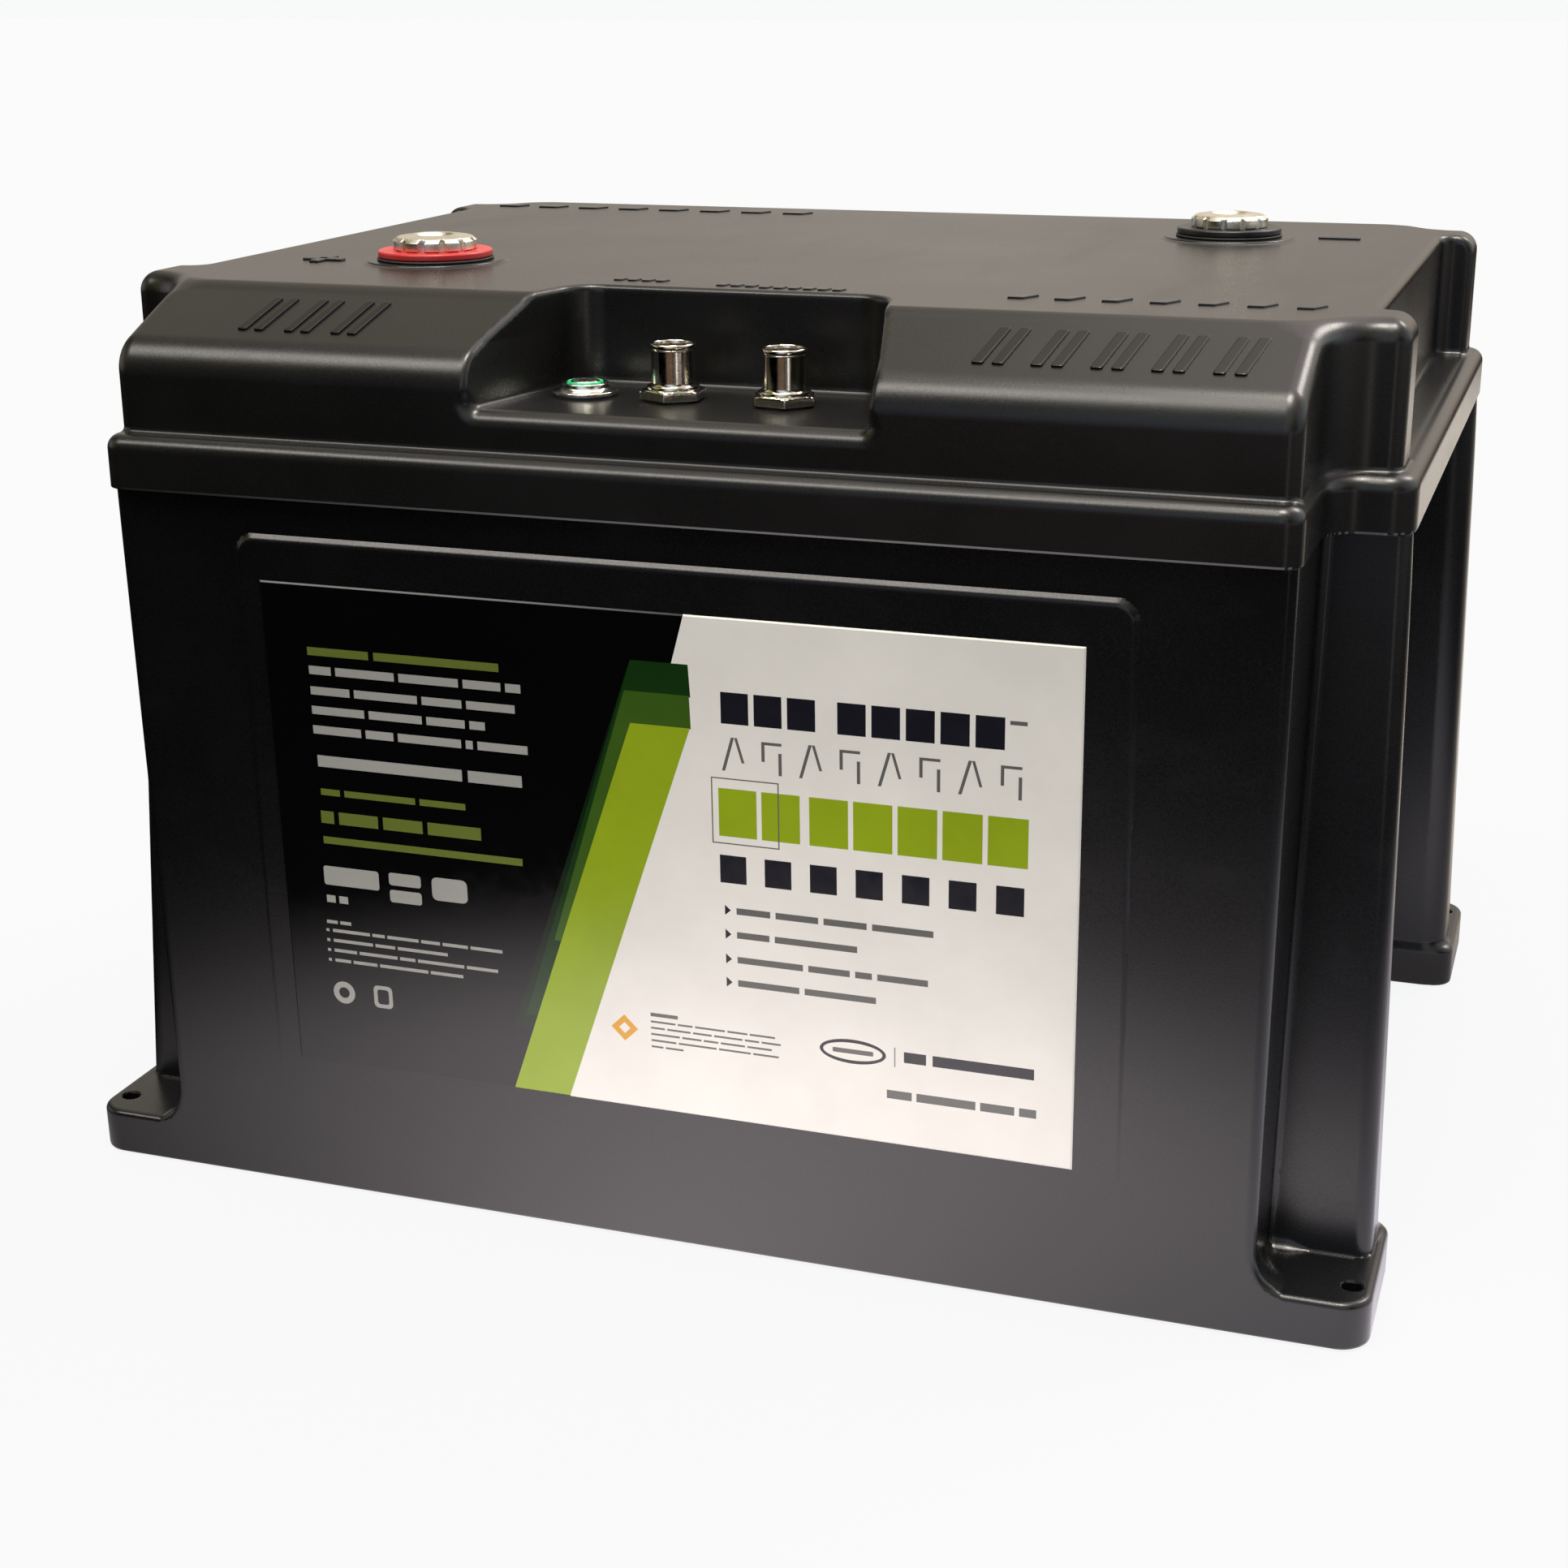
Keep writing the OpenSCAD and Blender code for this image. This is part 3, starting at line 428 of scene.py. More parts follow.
def nets(f, xs, ys, zs):
    V = np.broadcast_to(f(xs[:, None, None], ys[None, :, None], zs[None, None, :]), (len(xs), len(ys), len(zs))).astype(np.float32)
    ins = V < 0
    c = np.zeros((len(xs) - 1, len(ys) - 1, len(zs) - 1), np.int8)
    for i in (0, 1):
        for j in (0, 1):
            for k in (0, 1):
                c += ins[i : i + c.shape[0], j : j + c.shape[1], k : k + c.shape[2]]
    act = (c > 0) & (c < 8)
    ci = np.argwhere(act)
    idx = np.full(c.shape, -1, np.int32)
    idx[act] = np.arange(len(ci))
    G = (xs, ys, zs)
    P, W = np.zeros((len(ci), 3)), np.zeros(len(ci))
    for ax in range(3):
        o1, o2 = [a for a in range(3) if a != ax]
        for a in (0, 1):
            for b in (0, 1):
                s = ci.copy()
                s[:, o1] += a
                s[:, o2] += b
                e = s.copy()
                e[:, ax] += 1
                v0 = V[s[:, 0], s[:, 1], s[:, 2]].astype(float)
                v1 = V[e[:, 0], e[:, 1], e[:, 2]].astype(float)
                m = (v0 < 0) != (v1 < 0)
                t = np.where(m, v0 / np.where(m, v0 - v1, 1), 0)
                q = np.stack([G[k][s[:, k]] for k in range(3)], 1)
                q[:, ax] += t * (G[ax][e[:, ax]] - G[ax][s[:, ax]])
                P[m] += q[m]
                W[m] += 1
    P /= W[:, None]
    faces = []
    for ax in range(3):
        o1, o2 = [(1, 2), (2, 0), (0, 1)][ax]
        s0, s1 = [slice(None)] * 3, [slice(None)] * 3
        s0[ax], s1[ax] = slice(0, -1), slice(1, None)
        a, b = ins[tuple(s0)], ins[tuple(s1)]
        cr = np.argwhere(a != b)
        ok = (cr[:, o1] > 0) & (cr[:, o2] > 0) & (cr[:, o1] < len(G[o1]) - 1) & (cr[:, o2] < len(G[o2]) - 1)
        cr = cr[ok]

        def at(d1, d2):
            q = cr.copy()
            q[:, o1] += d1
            q[:, o2] += d2
            return idx[q[:, 0], q[:, 1], q[:, 2]]

        quad = np.stack([at(-1, -1), at(0, -1), at(0, 0), at(-1, 0)], 1)
        flip = ~a[cr[:, 0], cr[:, 1], cr[:, 2]]
        quad[flip] = quad[flip][:, ::-1]
        faces.append(quad)
    return P, np.concatenate(faces)


def grad(f, P, h=0.02):
    g = np.empty_like(P)
    for k in range(3):
        d = np.zeros(3)
        d[k] = h
        a, b = P + d, P - d
        g[:, k] = (f(a[:, 0], a[:, 1], a[:, 2]) - f(b[:, 0], b[:, 1], b[:, 2])) / (2 * h)
    return g


def settle(f, P, n=5, cap=0.6):
    """Moves the points onto the field's surface."""
    for _ in range(n):
        d = f(P[:, 0], P[:, 1], P[:, 2])
        g = grad(f, P)
        s = -(d / np.maximum((g * g).sum(1), 0.05))[:, None] * g
        s *= np.minimum(1, cap / np.maximum(np.linalg.norm(s, axis=1), 1e-9))[:, None]
        P = P + s
    return P


def moulded(name, f, xs, ys, zs, mats, replaces, extra=None):
    P, Q = nets(f, xs, ys, zs)
    P = settle(f, P)
    me = bpy.data.meshes.new(name + "_raw")
    me.vertices.add(len(P))
    me.vertices.foreach_set("co", (P * M).astype(np.float32).ravel())
    me.loops.add(len(Q) * 4)
    me.loops.foreach_set("vertex_index", Q.astype(np.int32).ravel())
    me.polygons.add(len(Q))
    me.polygons.foreach_set("loop_start", np.arange(0, len(Q) * 4, 4, dtype=np.int32))
    me.update(calc_edges=True)
    me.validate(verbose=False)
    o = bpy.data.objects.new(name, me)
    bpy.context.scene.collection.objects.link(o)
    d = o.modifiers.new("flat", "DECIMATE")
    d.ratio = min(1.0, 150000 / (2 * len(Q)))
    dg = bpy.context.evaluated_depsgraph_get()
    new = bpy.data.meshes.new_from_object(o.evaluated_get(dg))
    o.modifiers.clear()
    o.data = new
    new.name = name
    bpy.data.meshes.remove(me)
    for m in mats:
        new.materials.append(MAT[m])
    n = len(new.vertices)
    co = np.zeros(n * 3, np.float32)
    new.vertices.foreach_get("co", co)
    co = co.reshape(-1, 3).astype(float) / M
    g = grad(f, co)
    g /= np.maximum(np.linalg.norm(g, axis=1), 1e-9)[:, None]
    nl, npoly = len(new.loops), len(new.polygons)
    vi, ls, lt = np.zeros(nl, np.int32), np.zeros(npoly, np.int32), np.zeros(npoly, np.int32)
    pn = np.zeros(npoly * 3, np.float32)
    new.loops.foreach_get("vertex_index", vi)
    new.polygons.foreach_get("loop_start", ls)
    new.polygons.foreach_get("loop_total", lt)
    new.polygons.foreach_get("normal", pn)
    pn = pn.reshape(-1, 3)
    of = np.repeat(np.arange(npoly), lt)
    order = np.argsort(ls, kind="stable")
    of = np.empty(nl, np.int64)
    for_start = ls[order]
    of[:] = order[np.searchsorted(for_start, np.arange(nl), side="right") - 1]
    ln = g[vi]
    face = pn[of]
    flat = (lt[of] > 4) | ((ln * face).sum(1) < math.cos(math.radians(26)))
    ln = np.where(flat[:, None], face, ln)
    new.shade_smooth()
    new.normals_split_custom_set([tuple(v) for v in ln])
    new.update()
    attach(o, "battery")
    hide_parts(*replaces)
    print(name, "faces", npoly, "triangles", int((lt - 2).sum()))
    return o


NY, NZ = 0.4004, 0.9163  # normal of the lid's slope


def tub_field(x, y, z):
    X, Y = np.abs(x), np.abs(y)
    t = z / 210.4
    wall = X - (162.5 + t)
    col = rect(X, Y, 190.5 - 4.5 * t, 129.5 - 15.5 * t, 5)
    col = rmax(col, 104 - Y, 8)
    out = step(108, 114, Y)
    W = rmin(wall, col, np.clip(1.5 + (z - 36) * 0.012, 1.5, 3.2) * out + 5 * (1 - out))
    F = rmax(rmax(rect(X, Y, 193, 155.02 + 4 * t, 9), 104 - Y, 6), z - 13.8, 1.8)
    out = step(108, 120, Y)
    U = rmin(W, F, (10 - 8.3 * step(167, 175, X)) * (0.3 + 0.7 * step(136, 150, Y)) * out + 3 * (1 - out))
    D = rmax(U, Y - (155 + 4 * t), (1.8 + 1.4 * step(18, 30, z)) * step(12.5, 15, z) * (1 - step(176, 181, X)) + 0.02)
    panel = rect(X, z - 117.5, 126, 82.5, 6)
    over = Y - (155 + 4 * t)
    bevel = 0.62 * panel + 0.785 * over
    D = np.minimum(D, rmax(np.maximum(panel, over - 1.3 * (z - 35) / 165), bevel, 0.4))
    D = rmax(D, z - 210.4, 0.5)
    D = rmax(D, -z, 1.0)
    D = np.minimum(D, rmax(rmax(rect(X, Y, 160.9, 155.4, 5), z - 217, 0.6), 204 - z, 0.1))
    D = np.maximum(D, -rmax(rect(X, Y, 157 + 1.5 * t, 150 + 3 * t, 5), 4 - z, 3))
    hol = np.maximum(np.maximum(164.5 - X, X - 182.5), np.maximum(107.5 - Y, Y - (126 - 15.2 * t)))
    D = np.maximum(D, -np.maximum(hol, z - 206.4))
    return rmax(D, 2.75 - SQ((X - 187) ** 2 + (Y - 144) ** 2), 0.4)


def lid_field(x, y, z):
    X, Y = np.abs(x), np.abs(y)
    rim = rmin(rect(X, Y, 164.5, 162.3, 6), rect(X, Y, 186.5, 117, 8), 10)
    rim = rmax(rim, z - 225.3, 4)
    prof = rmax(Y - 155.7, (Y - 121.6) * NY + (z - 263.5) * NZ, 7)
    up = rmin(rmax(prof, X - 162.5, 5), rect(X, Y, 182, 112, 5), 15)
    up = rmax(up, z - 263.5, 1.5 + 4.5 * step(150, 166, X))
    pocket = rmax(rmax(172 - X, Y - 92, 5), 225.3 - z, 2)
    up = rmax(up, -pocket, 2.5)
    D = rmin(up, rim, 1.2)
    s = -y
    flare = 0.2256 - 0.0506 * np.clip((253 - z) / 16.5, 0, 1)  # the side walls lean out towards the top
    rec = rmax(102.5 - s, (X - 45 - flare * (s - 102.5)) * 0.9755, 8)
    rec = rmax(rec, 236.5 - z, 1.5)
    D = rmax(D, -rec, 1.6 + 2.8 * (1 - step(237.5, 243, z)))
    D = np.maximum(D, 210.4 - z)
    inn = np.maximum(np.maximum(Y - 152.2, (Y - 121.6) * NY + (z - 263.5) * NZ + 3.5), X - 159)
    blk = np.maximum(rect(X, Y, 178.5, 108.5, 3), 228.8 - z)
    blk = np.maximum(blk, -np.maximum(168.5 - X, Y - 95.5))
    inn = np.maximum(np.maximum(np.minimum(inn, blk), z - 260), 216 - z)
    inn = np.maximum(inn, -(rec - 3.5))
    lip = np.maximum(rect(X, Y, 161.1, 155.6, 5), z - 218.6)
    bar = np.maximum(np.maximum(np.maximum(166.5 - X, X - 183.2), Y - 101), z - 222)
    cut = np.minimum(np.minimum(inn, lip), bar)
    side = np.where(x < 0, -1.0, 1.0)
    term = SQ((x - side * 108) ** 2 + (y - side * 64) ** 2) - 8.2
    cut = np.minimum(cut, np.maximum(term, 250 - z))
    for hx, hr in ((-9, 6.15), (22.5, 6.15), (-34.6, 8.1)):
        cut = np.minimum(cut, np.maximum(SQ((x - hx) ** 2 + (y + 124) ** 2) - hr, 228 - z))
    return np.maximum(D, -cut)


def both(a):
    return np.concatenate([-a[:0:-1], a])


k = 1.0
tub = moulded(
    "case_tub_moulding",
    tub_field,
    both(lines([(120, 128, 0.8 * k), (155.5, 194.5, 0.9 * k)], 9, 0, 195)),
    both(lines([(102, 132, 0.9 * k), (140, 160, 0.9 * k)], 9, 0, 161)),
    lines([(-1.2, 16, 0.7 * k), (33.5, 36.5, 0.7 * k), (194, 201.5, 0.7 * k), (205, 218, 0.8 * k)], 7, -1.2, 218),
    ["case_black"],
    ["case_tub"],
)
lid = moulded(
    "case_lid_moulding",
    lid_field,
    both(lines([(0, 62, 1.2 * k), (98, 118, 1.6 * k), (157, 188, 0.8 * k)], 6, 0, 188)),
    both(lines([(54, 74, 1.6 * k), (88, 164, 1.0 * k)], 6, 0, 164)),
    lines([(209.2, 227, 0.75 * k), (231, 243, 0.8 * k), (243, 265, 0.9 * k)], 2, 209.2, 265),
    ["lid_black"],
    ["case_lid"],
)

# posts inside the tub that carry the tray
b = Builder()
for sx in (-1, 1):
    for sy in (-1, 1):
        b.add(*turned([(7.6, 3.4), (7.0, 5.0), (7.0, 145.4), (6.4, 146), (2.5, 146), (2.1, 145.6), (2.1, 124), (1.9, 123.8), (1.9, 3.4)], 40, (sx * 116, sy * 72)))
piece("tub_tray_posts", b.v, b.f, ["case_black"], slot="case_black")

# --------------------------------------------------------------------------
# raised signs, bosses and plain relief bars of the lid
# --------------------------------------------------------------------------
b = Builder()
for s in (-1, 1):
    prof = [(22.2, 263.42), (21.6, 263.56)] + [(20.9, 263.9)] + arc((19.9, 263.7), 0.6, 20, 90, 5) + [(17.6, 264.3), (17.3, 264.24), (8.4, 264.24), (8.3, 264.1), (8.3, 262.9), (22.0, 262.9)]
    b.add(*turned(prof, 128, (s * 108, s * 64)))
top = 263.5
for hx, hy in ((6.5, 1.6), (1.6, 6.5)):
    b.add(*block(-142, -70.5, top + 0.15, hx, hy, 0.55, 0.35))
b.add(*block(142, 70.5, top + 0.15, 6.5, 1.6, 0.55, 0.35))
piece("lid_bosses_and_signs", b.v, b.f, ["lid_black"], slot="lid_black", sharp=40)


def slanted(b, x0, x1, lean, v0, v1, put, h=0.75, index=0):
    """A bar with leaning ends on a plane; put maps (x, v, height) to a point."""
    n = 5
    rings = []
    for lift, ins in ((-0.6, 0.0), (h - 0.32, 0.0), (h - 0.1, 0.08), (h, 0.28), (h, 0.6)):
        ring = []
        cor = [(x0 + ins, v0 + ins), (x1 - ins, v0 + ins), (x1 + lean - ins, v1 - ins), (x0 + lean + ins, v1 - ins)]
        for q in range(4):
            p, a, c = Vector(cor[q]), Vector(cor[q - 1]), Vector(cor[(q + 1) % 4])
            r = 0.7
            p0, p1 = p + (a - p).normalized() * r, p + (c - p).normalized() * r
            for i in range(n):
                t = i / (n - 1)
                m = p0 * (1 - t) ** 2 + p * 2 * t * (1 - t) + p1 * t * t
                ring.append((m[0], m[1], lift))
        rings.append(ring)
    m = 4 * n
    v = [put(*p) for ring in rings for p in ring]
    f = []
    for i in range(len(rings) - 1):
        for kk in range(m):
            k2 = (kk + 1) % m
            f.append((i * m + kk, i * m + k2, (i + 1) * m + k2, (i + 1) * m + kk))
    f.append(tuple(reversed(range(m))))
    f.append(tuple((len(rings) - 1) * m + kk for kk in range(m)))
    b.add(v, f, index)


def on_slope(x, v, h):
    """v runs up the slope from its lower edge at the sharp corner."""
    y0, z0 = -155.7, 248.6
    return (x, y0 + v * NZ - h * NY, z0 + v * NY + h * NZ)


def on_slope_back(x, v, h):
    p = on_slope(x, v, h)
    return (-p[0], -p[1], p[2])


def on_top(x, v, h):
    return (x, v, 263.5 + h)


b = Builder()
for put in (on_slope, on_slope_back):
    for i in range(3):
        for w0 in (0.0, 5.0):
            slanted(b, -128.5 + 14.2 * i + w0, -125.7 + 14.2 * i + w0, 3.6, 11.5, 28.5, put, 0.6)
    for i in range(5):
        for w0 in (0.0, 5.2):
            slanted(b, 78.5 + 15.0 * i + w0, 81.6 + 15.0 * i + w0, 3.6, 11.5, 28.5, put, 0.6)
# small rows on the flat top
for i in range(7):
    slanted(b, 76 + 12.6 * i, 80.5 + 12.6 * i, 3.0, -99.5, -92.5, on_top, 0.5)
for i in range(8):
    slanted(b, -164 + 15.6 * i, -156.5 + 15.6 * i, 2.4, 100, 106, on_top, 0.5)
for x0, n in ((-39, 4), (-7, 3), (6, 6)):
    for i in range(n):
        slanted(b, x0 + 4.2 * i, x0 + 2.6 + 4.2 * i, 0.8, -92.5 - 0.12 * (x0 + 39), -88.5 - 0.12 * (x0 + 39), on_top, 0.4)
piece("lid_relief_bars", b.v, b.f, ["relief"], slot="lid_black", sharp=40)

# --------------------------------------------------------------------------
# terminals
# --------------------------------------------------------------------------
TZ = 267.2  # underside of the disc


def notched(r, turn=0.0, depth=1.3, width=0.07, count=12):
    def at(a):
        d = 0.0
        for kk in range(count):
            c = math.radians(30 * kk + turn)
            e = math.atan2(math.sin(a - c), math.cos(a - c))
            u = abs(e) / width
            if u < 1.25:
                d = max(d, depth * min(1.0, max(0.0, (1.25 - u) / 0.35)))
        return min(r, 12.5 - d) if d > 0 else r
    return at


def thread(r0, dr, pitch):
    def ring(z):
        def at(a):
            u = (z / pitch - a / (2 * math.pi)) % 1.0
            return r0 + dr * abs(2 * u - 1)
        return at
    return ring


for s, name, ringmat, turn, q in ((-1, "positive", "ring_red", 6.7, 1.0), (1, "negative", "ring_black", 0.0, 0.96)):
    c = (s * 108, s * 64)
    cut = lambda r: notched(r * q, turn)
    lv = [(246.2, 7.4), (246.6, 8.0), (TZ, 8.0), (TZ + 0.02, 8.4), (TZ + 0.02, cut(11.9)), (TZ + 0.18, cut(12.3)), (TZ + 0.5, cut(12.5)), (TZ + 2.5, cut(12.5)), (TZ + 2.7, cut(12.42)), (TZ + 2.85, cut(12.2)), (TZ + 3.55, cut(11.35)), (TZ + 3.7, cut(11.1)), (TZ + 3.78, cut(10.8)), (TZ + 4.36, 7.0 * q), (TZ + 4.4, 6.7 * q)]
    lv += [(TZ + 4.4, 6.4), (TZ + 4.32, 6.0), (TZ + 4.05, 5.6), (TZ + 3.3, 4.9), (TZ + 2.6, 4.2), (TZ + 2.2, 3.9), (TZ + 2.0, 3.8)]
    th = thread(3.35, 0.42, 1.25)
    zz = TZ + 1.85
    while zz > 257.0:
        lv.append((zz, th(zz)))
        zz -= 0.21
    lv += [(256.6, 3.3), (255.6, 3.3), (255.5, 3.0)]
    n = 288
    v, f = loft(lv, n, c, close=False, caps=True)
    idx = [0] * len(f)
    cut0 = next(i for i, (z, r) in enumerate(lv) if z < TZ + 2.1 and i > 14)
    for i in range(cut0, len(lv) - 1):
        for kk in range(n):
            idx[i * n + kk] = 1
    piece(name + "_terminal_post", v, f, ["terminal_metal", "thread_metal"], replaces=[name + "_terminal"], slot="terminal_metal", index=idx, sharp=38)
    # coloured ring: a shallow dish with a rolled edge
    prof = [(16.2 * q, 265.12)] + arc((16.45 * q, 265.67), 0.55, -90, 0, 4) + arc((16.4 * q, 266.55), 0.6, 0, 90, 5) + [(15.2 * q, 267.12), (14.2, 267.0), (13.2, 266.9), (12.9, 266.95), (12.6, 267.16), (8.3, 267.16), (8.12, 267.0), (8.12, 265.3), (8.3, 265.12)]
    piece(name + "_ring_dish", *turned(prof, 144, c), [ringmat], replaces=[name + "_ring"], slot=ringmat, sharp=40)
    prof = [(16.9 * q, 264.36)] + arc((17.0 * q, 264.7), 0.36, -60, 60, 5) + [(16.8 * q, 265.06), (8.3, 265.06), (8.12, 264.95), (8.12, 264.45), (8.3, 264.33)]
    piece(name + "_seal_washer", *turned(prof, 128, c), ["seal_rubber"], replaces=[name + "_seal"], slot="seal_rubber", sharp=45)

# --------------------------------------------------------------------------
# ports
# --------------------------------------------------------------------------
Z0 = 236.5


def hexagon(af, cap, turn):
    def at(a):
        u = (a - turn) % (math.pi / 3) - math.pi / 6
        return min(af / 2 / math.cos(u), cap)
    return at


for tag, px, turn in (("a", -9.0, math.radians(-85.6)), ("b", 22.5, math.radians(-71.1))):
    c = (px, -124.0)
    hx = lambda cap, ins=0.0: hexagon(16 - 2 * ins, cap, turn)
    lv = [(Z0 - 14, 5.4), (Z0 - 13.5, 5.9)]
    zz = Z0 - 13.2
    th = thread(5.62, 0.36, 1.0)
    while zz < Z0 - 0.2:
        lv.append((zz, th(zz)))
        zz += 0.24
    lv += [(Z0 + 0.0, 5.95), (Z0 + 0.6, 6.0), (Z0 + 0.6, hx(8.5, 0.25)), (Z0 + 0.72, hx(9.0, 0.08)), (Z0 + 0.9, hx(9.3)), (Z0 + 2.5, hx(9.3)), (Z0 + 2.78, hx(9.05)), (Z0 + 3.0, hx(8.6, 0.06)), (Z0 + 3.2, hx(8.0, 0.2)), (Z0 + 3.2, 7.35)]
    lv += [(z, r) for r, z in [(7.1, Z0 + 3.3), (7.1, Z0 + 3.85), (6.98, Z0 + 4.08), (6.75, Z0 + 4.2), (6.35, Z0 + 4.2), (6.02, Z0 + 4.32), (5.86, Z0 + 4.6), (5.82, Z0 + 5.1), (5.76, Z0 + 13.4), (5.79, Z0 + 13.6), (5.9, Z0 + 13.76), (6.06, Z0 + 13.9), (6.12, Z0 + 14.1), (6.12, Z0 + 14.85), (6.04, Z0 + 15.12), (5.88, Z0 + 15.27), (5.66, Z0 + 15.3), (5.42, Z0 + 15.27), (5.28, Z0 + 15.12), (5.22, Z0 + 14.85), (5.2, Z0 + 14.0), (5.2, Z0 + 7.2), (4.62, Z0 + 6.6), (4.6, Z0 - 13.9), (4.8, Z0 - 14.0)]]
    v, f = loft(lv, 180, c, close=True)
    piece("port_%s_connector" % tag, v, f, ["port_metal"], replaces=["port_%s_shell" % tag], slot="port_metal", sharp=34)
    prof = [(4.5, Z0 - 14)] + [(4.5, Z0 + 5.7), (4.35, Z0 + 6.0), (3.9, Z0 + 6.0), (3.8, Z0 + 5.8), (3.6, Z0 + 5.8), (3.5, Z0 + 6.0), (0.6, Z0 + 6.0), (0.6, Z0 - 14)]
    piece("port_%s_socket" % tag, *turned(prof, 64, c), ["insert_black"], replaces=["port_%s_insert" % tag], slot="insert_black", sharp=30)

# --------------------------------------------------------------------------
# button
# --------------------------------------------------------------------------
c = (-34.6, -124.0)
prof = [(8.1, Z0 + 0.63), (8.55, Z0 + 0.63)] + arc((8.55, Z0 + 0.95), 0.33, -90, 0, 4) + arc((8.5, Z0 + 1.28), 0.38, 0, 75, 5) + [(8.0, Z0 + 1.82), (7.4, Z0 + 2.02), (6.95, Z0 + 2.2), (6.72, Z0 + 2.42), (6.6, Z0 + 2.8), (6.5, Z0 + 3.15)] + arc((6.1, Z0 + 3.3), 0.4, 0, 90, 5) + [(5.5, Z0 + 3.66), (5.15, Z0 + 3.56), (5.02, Z0 + 3.4), (5.0, Z0 - 2.5), (4.3, Z0 - 2.5), (4.3, Z0 - 7), (1.6, Z0 - 7), (1.6, Z0 - 8), (6.65, Z0 - 8), (6.65, Z0 - 13), (7.6, Z0 - 13), (7.9, Z0 - 12.7), (7.9, Z0 + 0.5)]
piece("button_collar", *turned(prof, 144, c), ["button_metal"], replaces=["button_bezel"], slot="button_metal", sharp=38)
prof = [(4.93, Z0 - 2.45), (4.93, Z0 + 3.6)] + arc((4.53, Z0 + 3.65), 0.4, 0, 180, 8) + [(4.16, Z0 - 2.45)]
piece("button_glow_ring", *turned(prof, 128, c), ["light_green"], replaces=["button_light_ring"], slot="light_green", sharp=50)
prof = [(0.0001, Z0 - 9.4), (2.2, Z0 - 9.4), (2.4, Z0 - 9.2), (2.4, Z0 - 8.1), (1.5, Z0 - 8.05), (1.5, Z0 - 2.05), (3.9, Z0 - 2.0), (4.08, Z0 - 1.85), (4.08, Z0 + 3.75)] + arc((3.7, Z0 + 3.8), 0.38, 0, 90, 5) + [(3.1, Z0 + 4.14), (2.2, Z0 + 3.98), (1.1, Z0 + 3.86), (0.0001, Z0 + 3.82)]
v, f = turned(prof, 96, c, close=False)
piece("button_press_cap", v, f, ["button_cap_metal"], body="button", replaces=["button_cap"], slot="button_cap_metal", sharp=38)
# the return spring: it shortens with the press, so it is squashed towards its lower end
v, f, turns, steps, ring = [], [], 4, 192, 12
for i in range(steps + 1):
    w_ = 2 * math.pi * turns * i / steps
    for j in range(ring):
        b_ = 2 * math.pi * j / ring
        rad = 2.9 + 0.29 * math.cos(b_)
        v.append((c[0] + rad * math.cos(w_), c[1] + rad * math.sin(w_), Z0 - 6.65 + 4.28 * i / steps + 0.29 * math.sin(b_)))
for i in range(steps):
    for j in range(ring):
        k_ = (j + 1) % ring
        f.append((i * ring + j, (i + 1) * ring + j, (i + 1) * ring + k_, i * ring + k_))
f.append(tuple(range(ring)))
f.append(tuple(steps * ring + j for j in reversed(range(ring))))
spring = piece("button_return_spring", v, f, ["spring_steel"], replaces=["button_spring"], slot="spring_steel", sharp=50)
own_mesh(spring)

# --------------------------------------------------------------------------
# front label: one sheet cut into printed areas
# --------------------------------------------------------------------------
LX0, LX1, LZ0, LZ1 = -118.0, 112.7, 42.4, 186.7
SLANT = (186.7 - 42.4) / (6.5 + 33.6)  # the edge of the white area


def lab_y(z, lift=0.33):
    return -(155 + 4 * z / 210.4 + 1.3 * (z - 35) / 165 + lift)


areas = []  # (material, outline) from the lowest layer to the highest


def put(mat, pts):
    areas.append((mat, pts))


def bar(mat, x0, z0, x1, z1, lean=0.0, r=0.0):
    if r <= 0:
        return put(mat, [(x0, z0), (x1, z0), (x1 + lean, z1), (x0 + lean, z1)])
    pts = []
    for cx, cz, a0 in ((x1 - r, z0 + r, -90), (x1 - r, z1 - r, 0), (x0 + r, z1 - r, 90), (x0 + r, z0 + r, 180)):
        for i in range(4):
            a = math.radians(a0 + 30 * i)
            pts.append((cx + r * math.cos(a), cz + r * math.sin(a)))
    put(mat, pts)


def words(mat, x0, z0, x1, z1, pattern, gap, r=0.0):
    """A row of plain bars whose widths follow the pattern, as stand-ins for print."""
    z0, z1 = z0 + 0.13 * (z1 - z0), z1 - 0.13 * (z1 - z0)
    unit = (x1 - x0 - gap * (len(pattern) - 1)) / sum(pattern)
    x = x0
    for w in pattern:
        bar(mat, x, z0, x + w * unit, z1, 0, min(r, w * unit * 0.3))
        x += w * unit + gap


def cells_row(mat, x0, z0, x1, z1, groups, gap, space):
    """A row of equal blocks in groups, as stand-ins for a heading."""
    n = sum(groups)
    w = (x1 - x0 - gap * (n - len(groups)) - space * (len(groups) - 1)) / n
    x = x0
    for g in groups:
        for i in range(g):
            bar(mat, x, z0, x + w, z1)
            x += w + gap
        x += space - gap
    return w


wx = lambda z: 6.5 - (186.7 - z) * 0.2785
put("label", [(wx(LZ0), LZ0), (LX1, LZ0), (LX1, LZ1), (wx(LZ1), LZ1)])
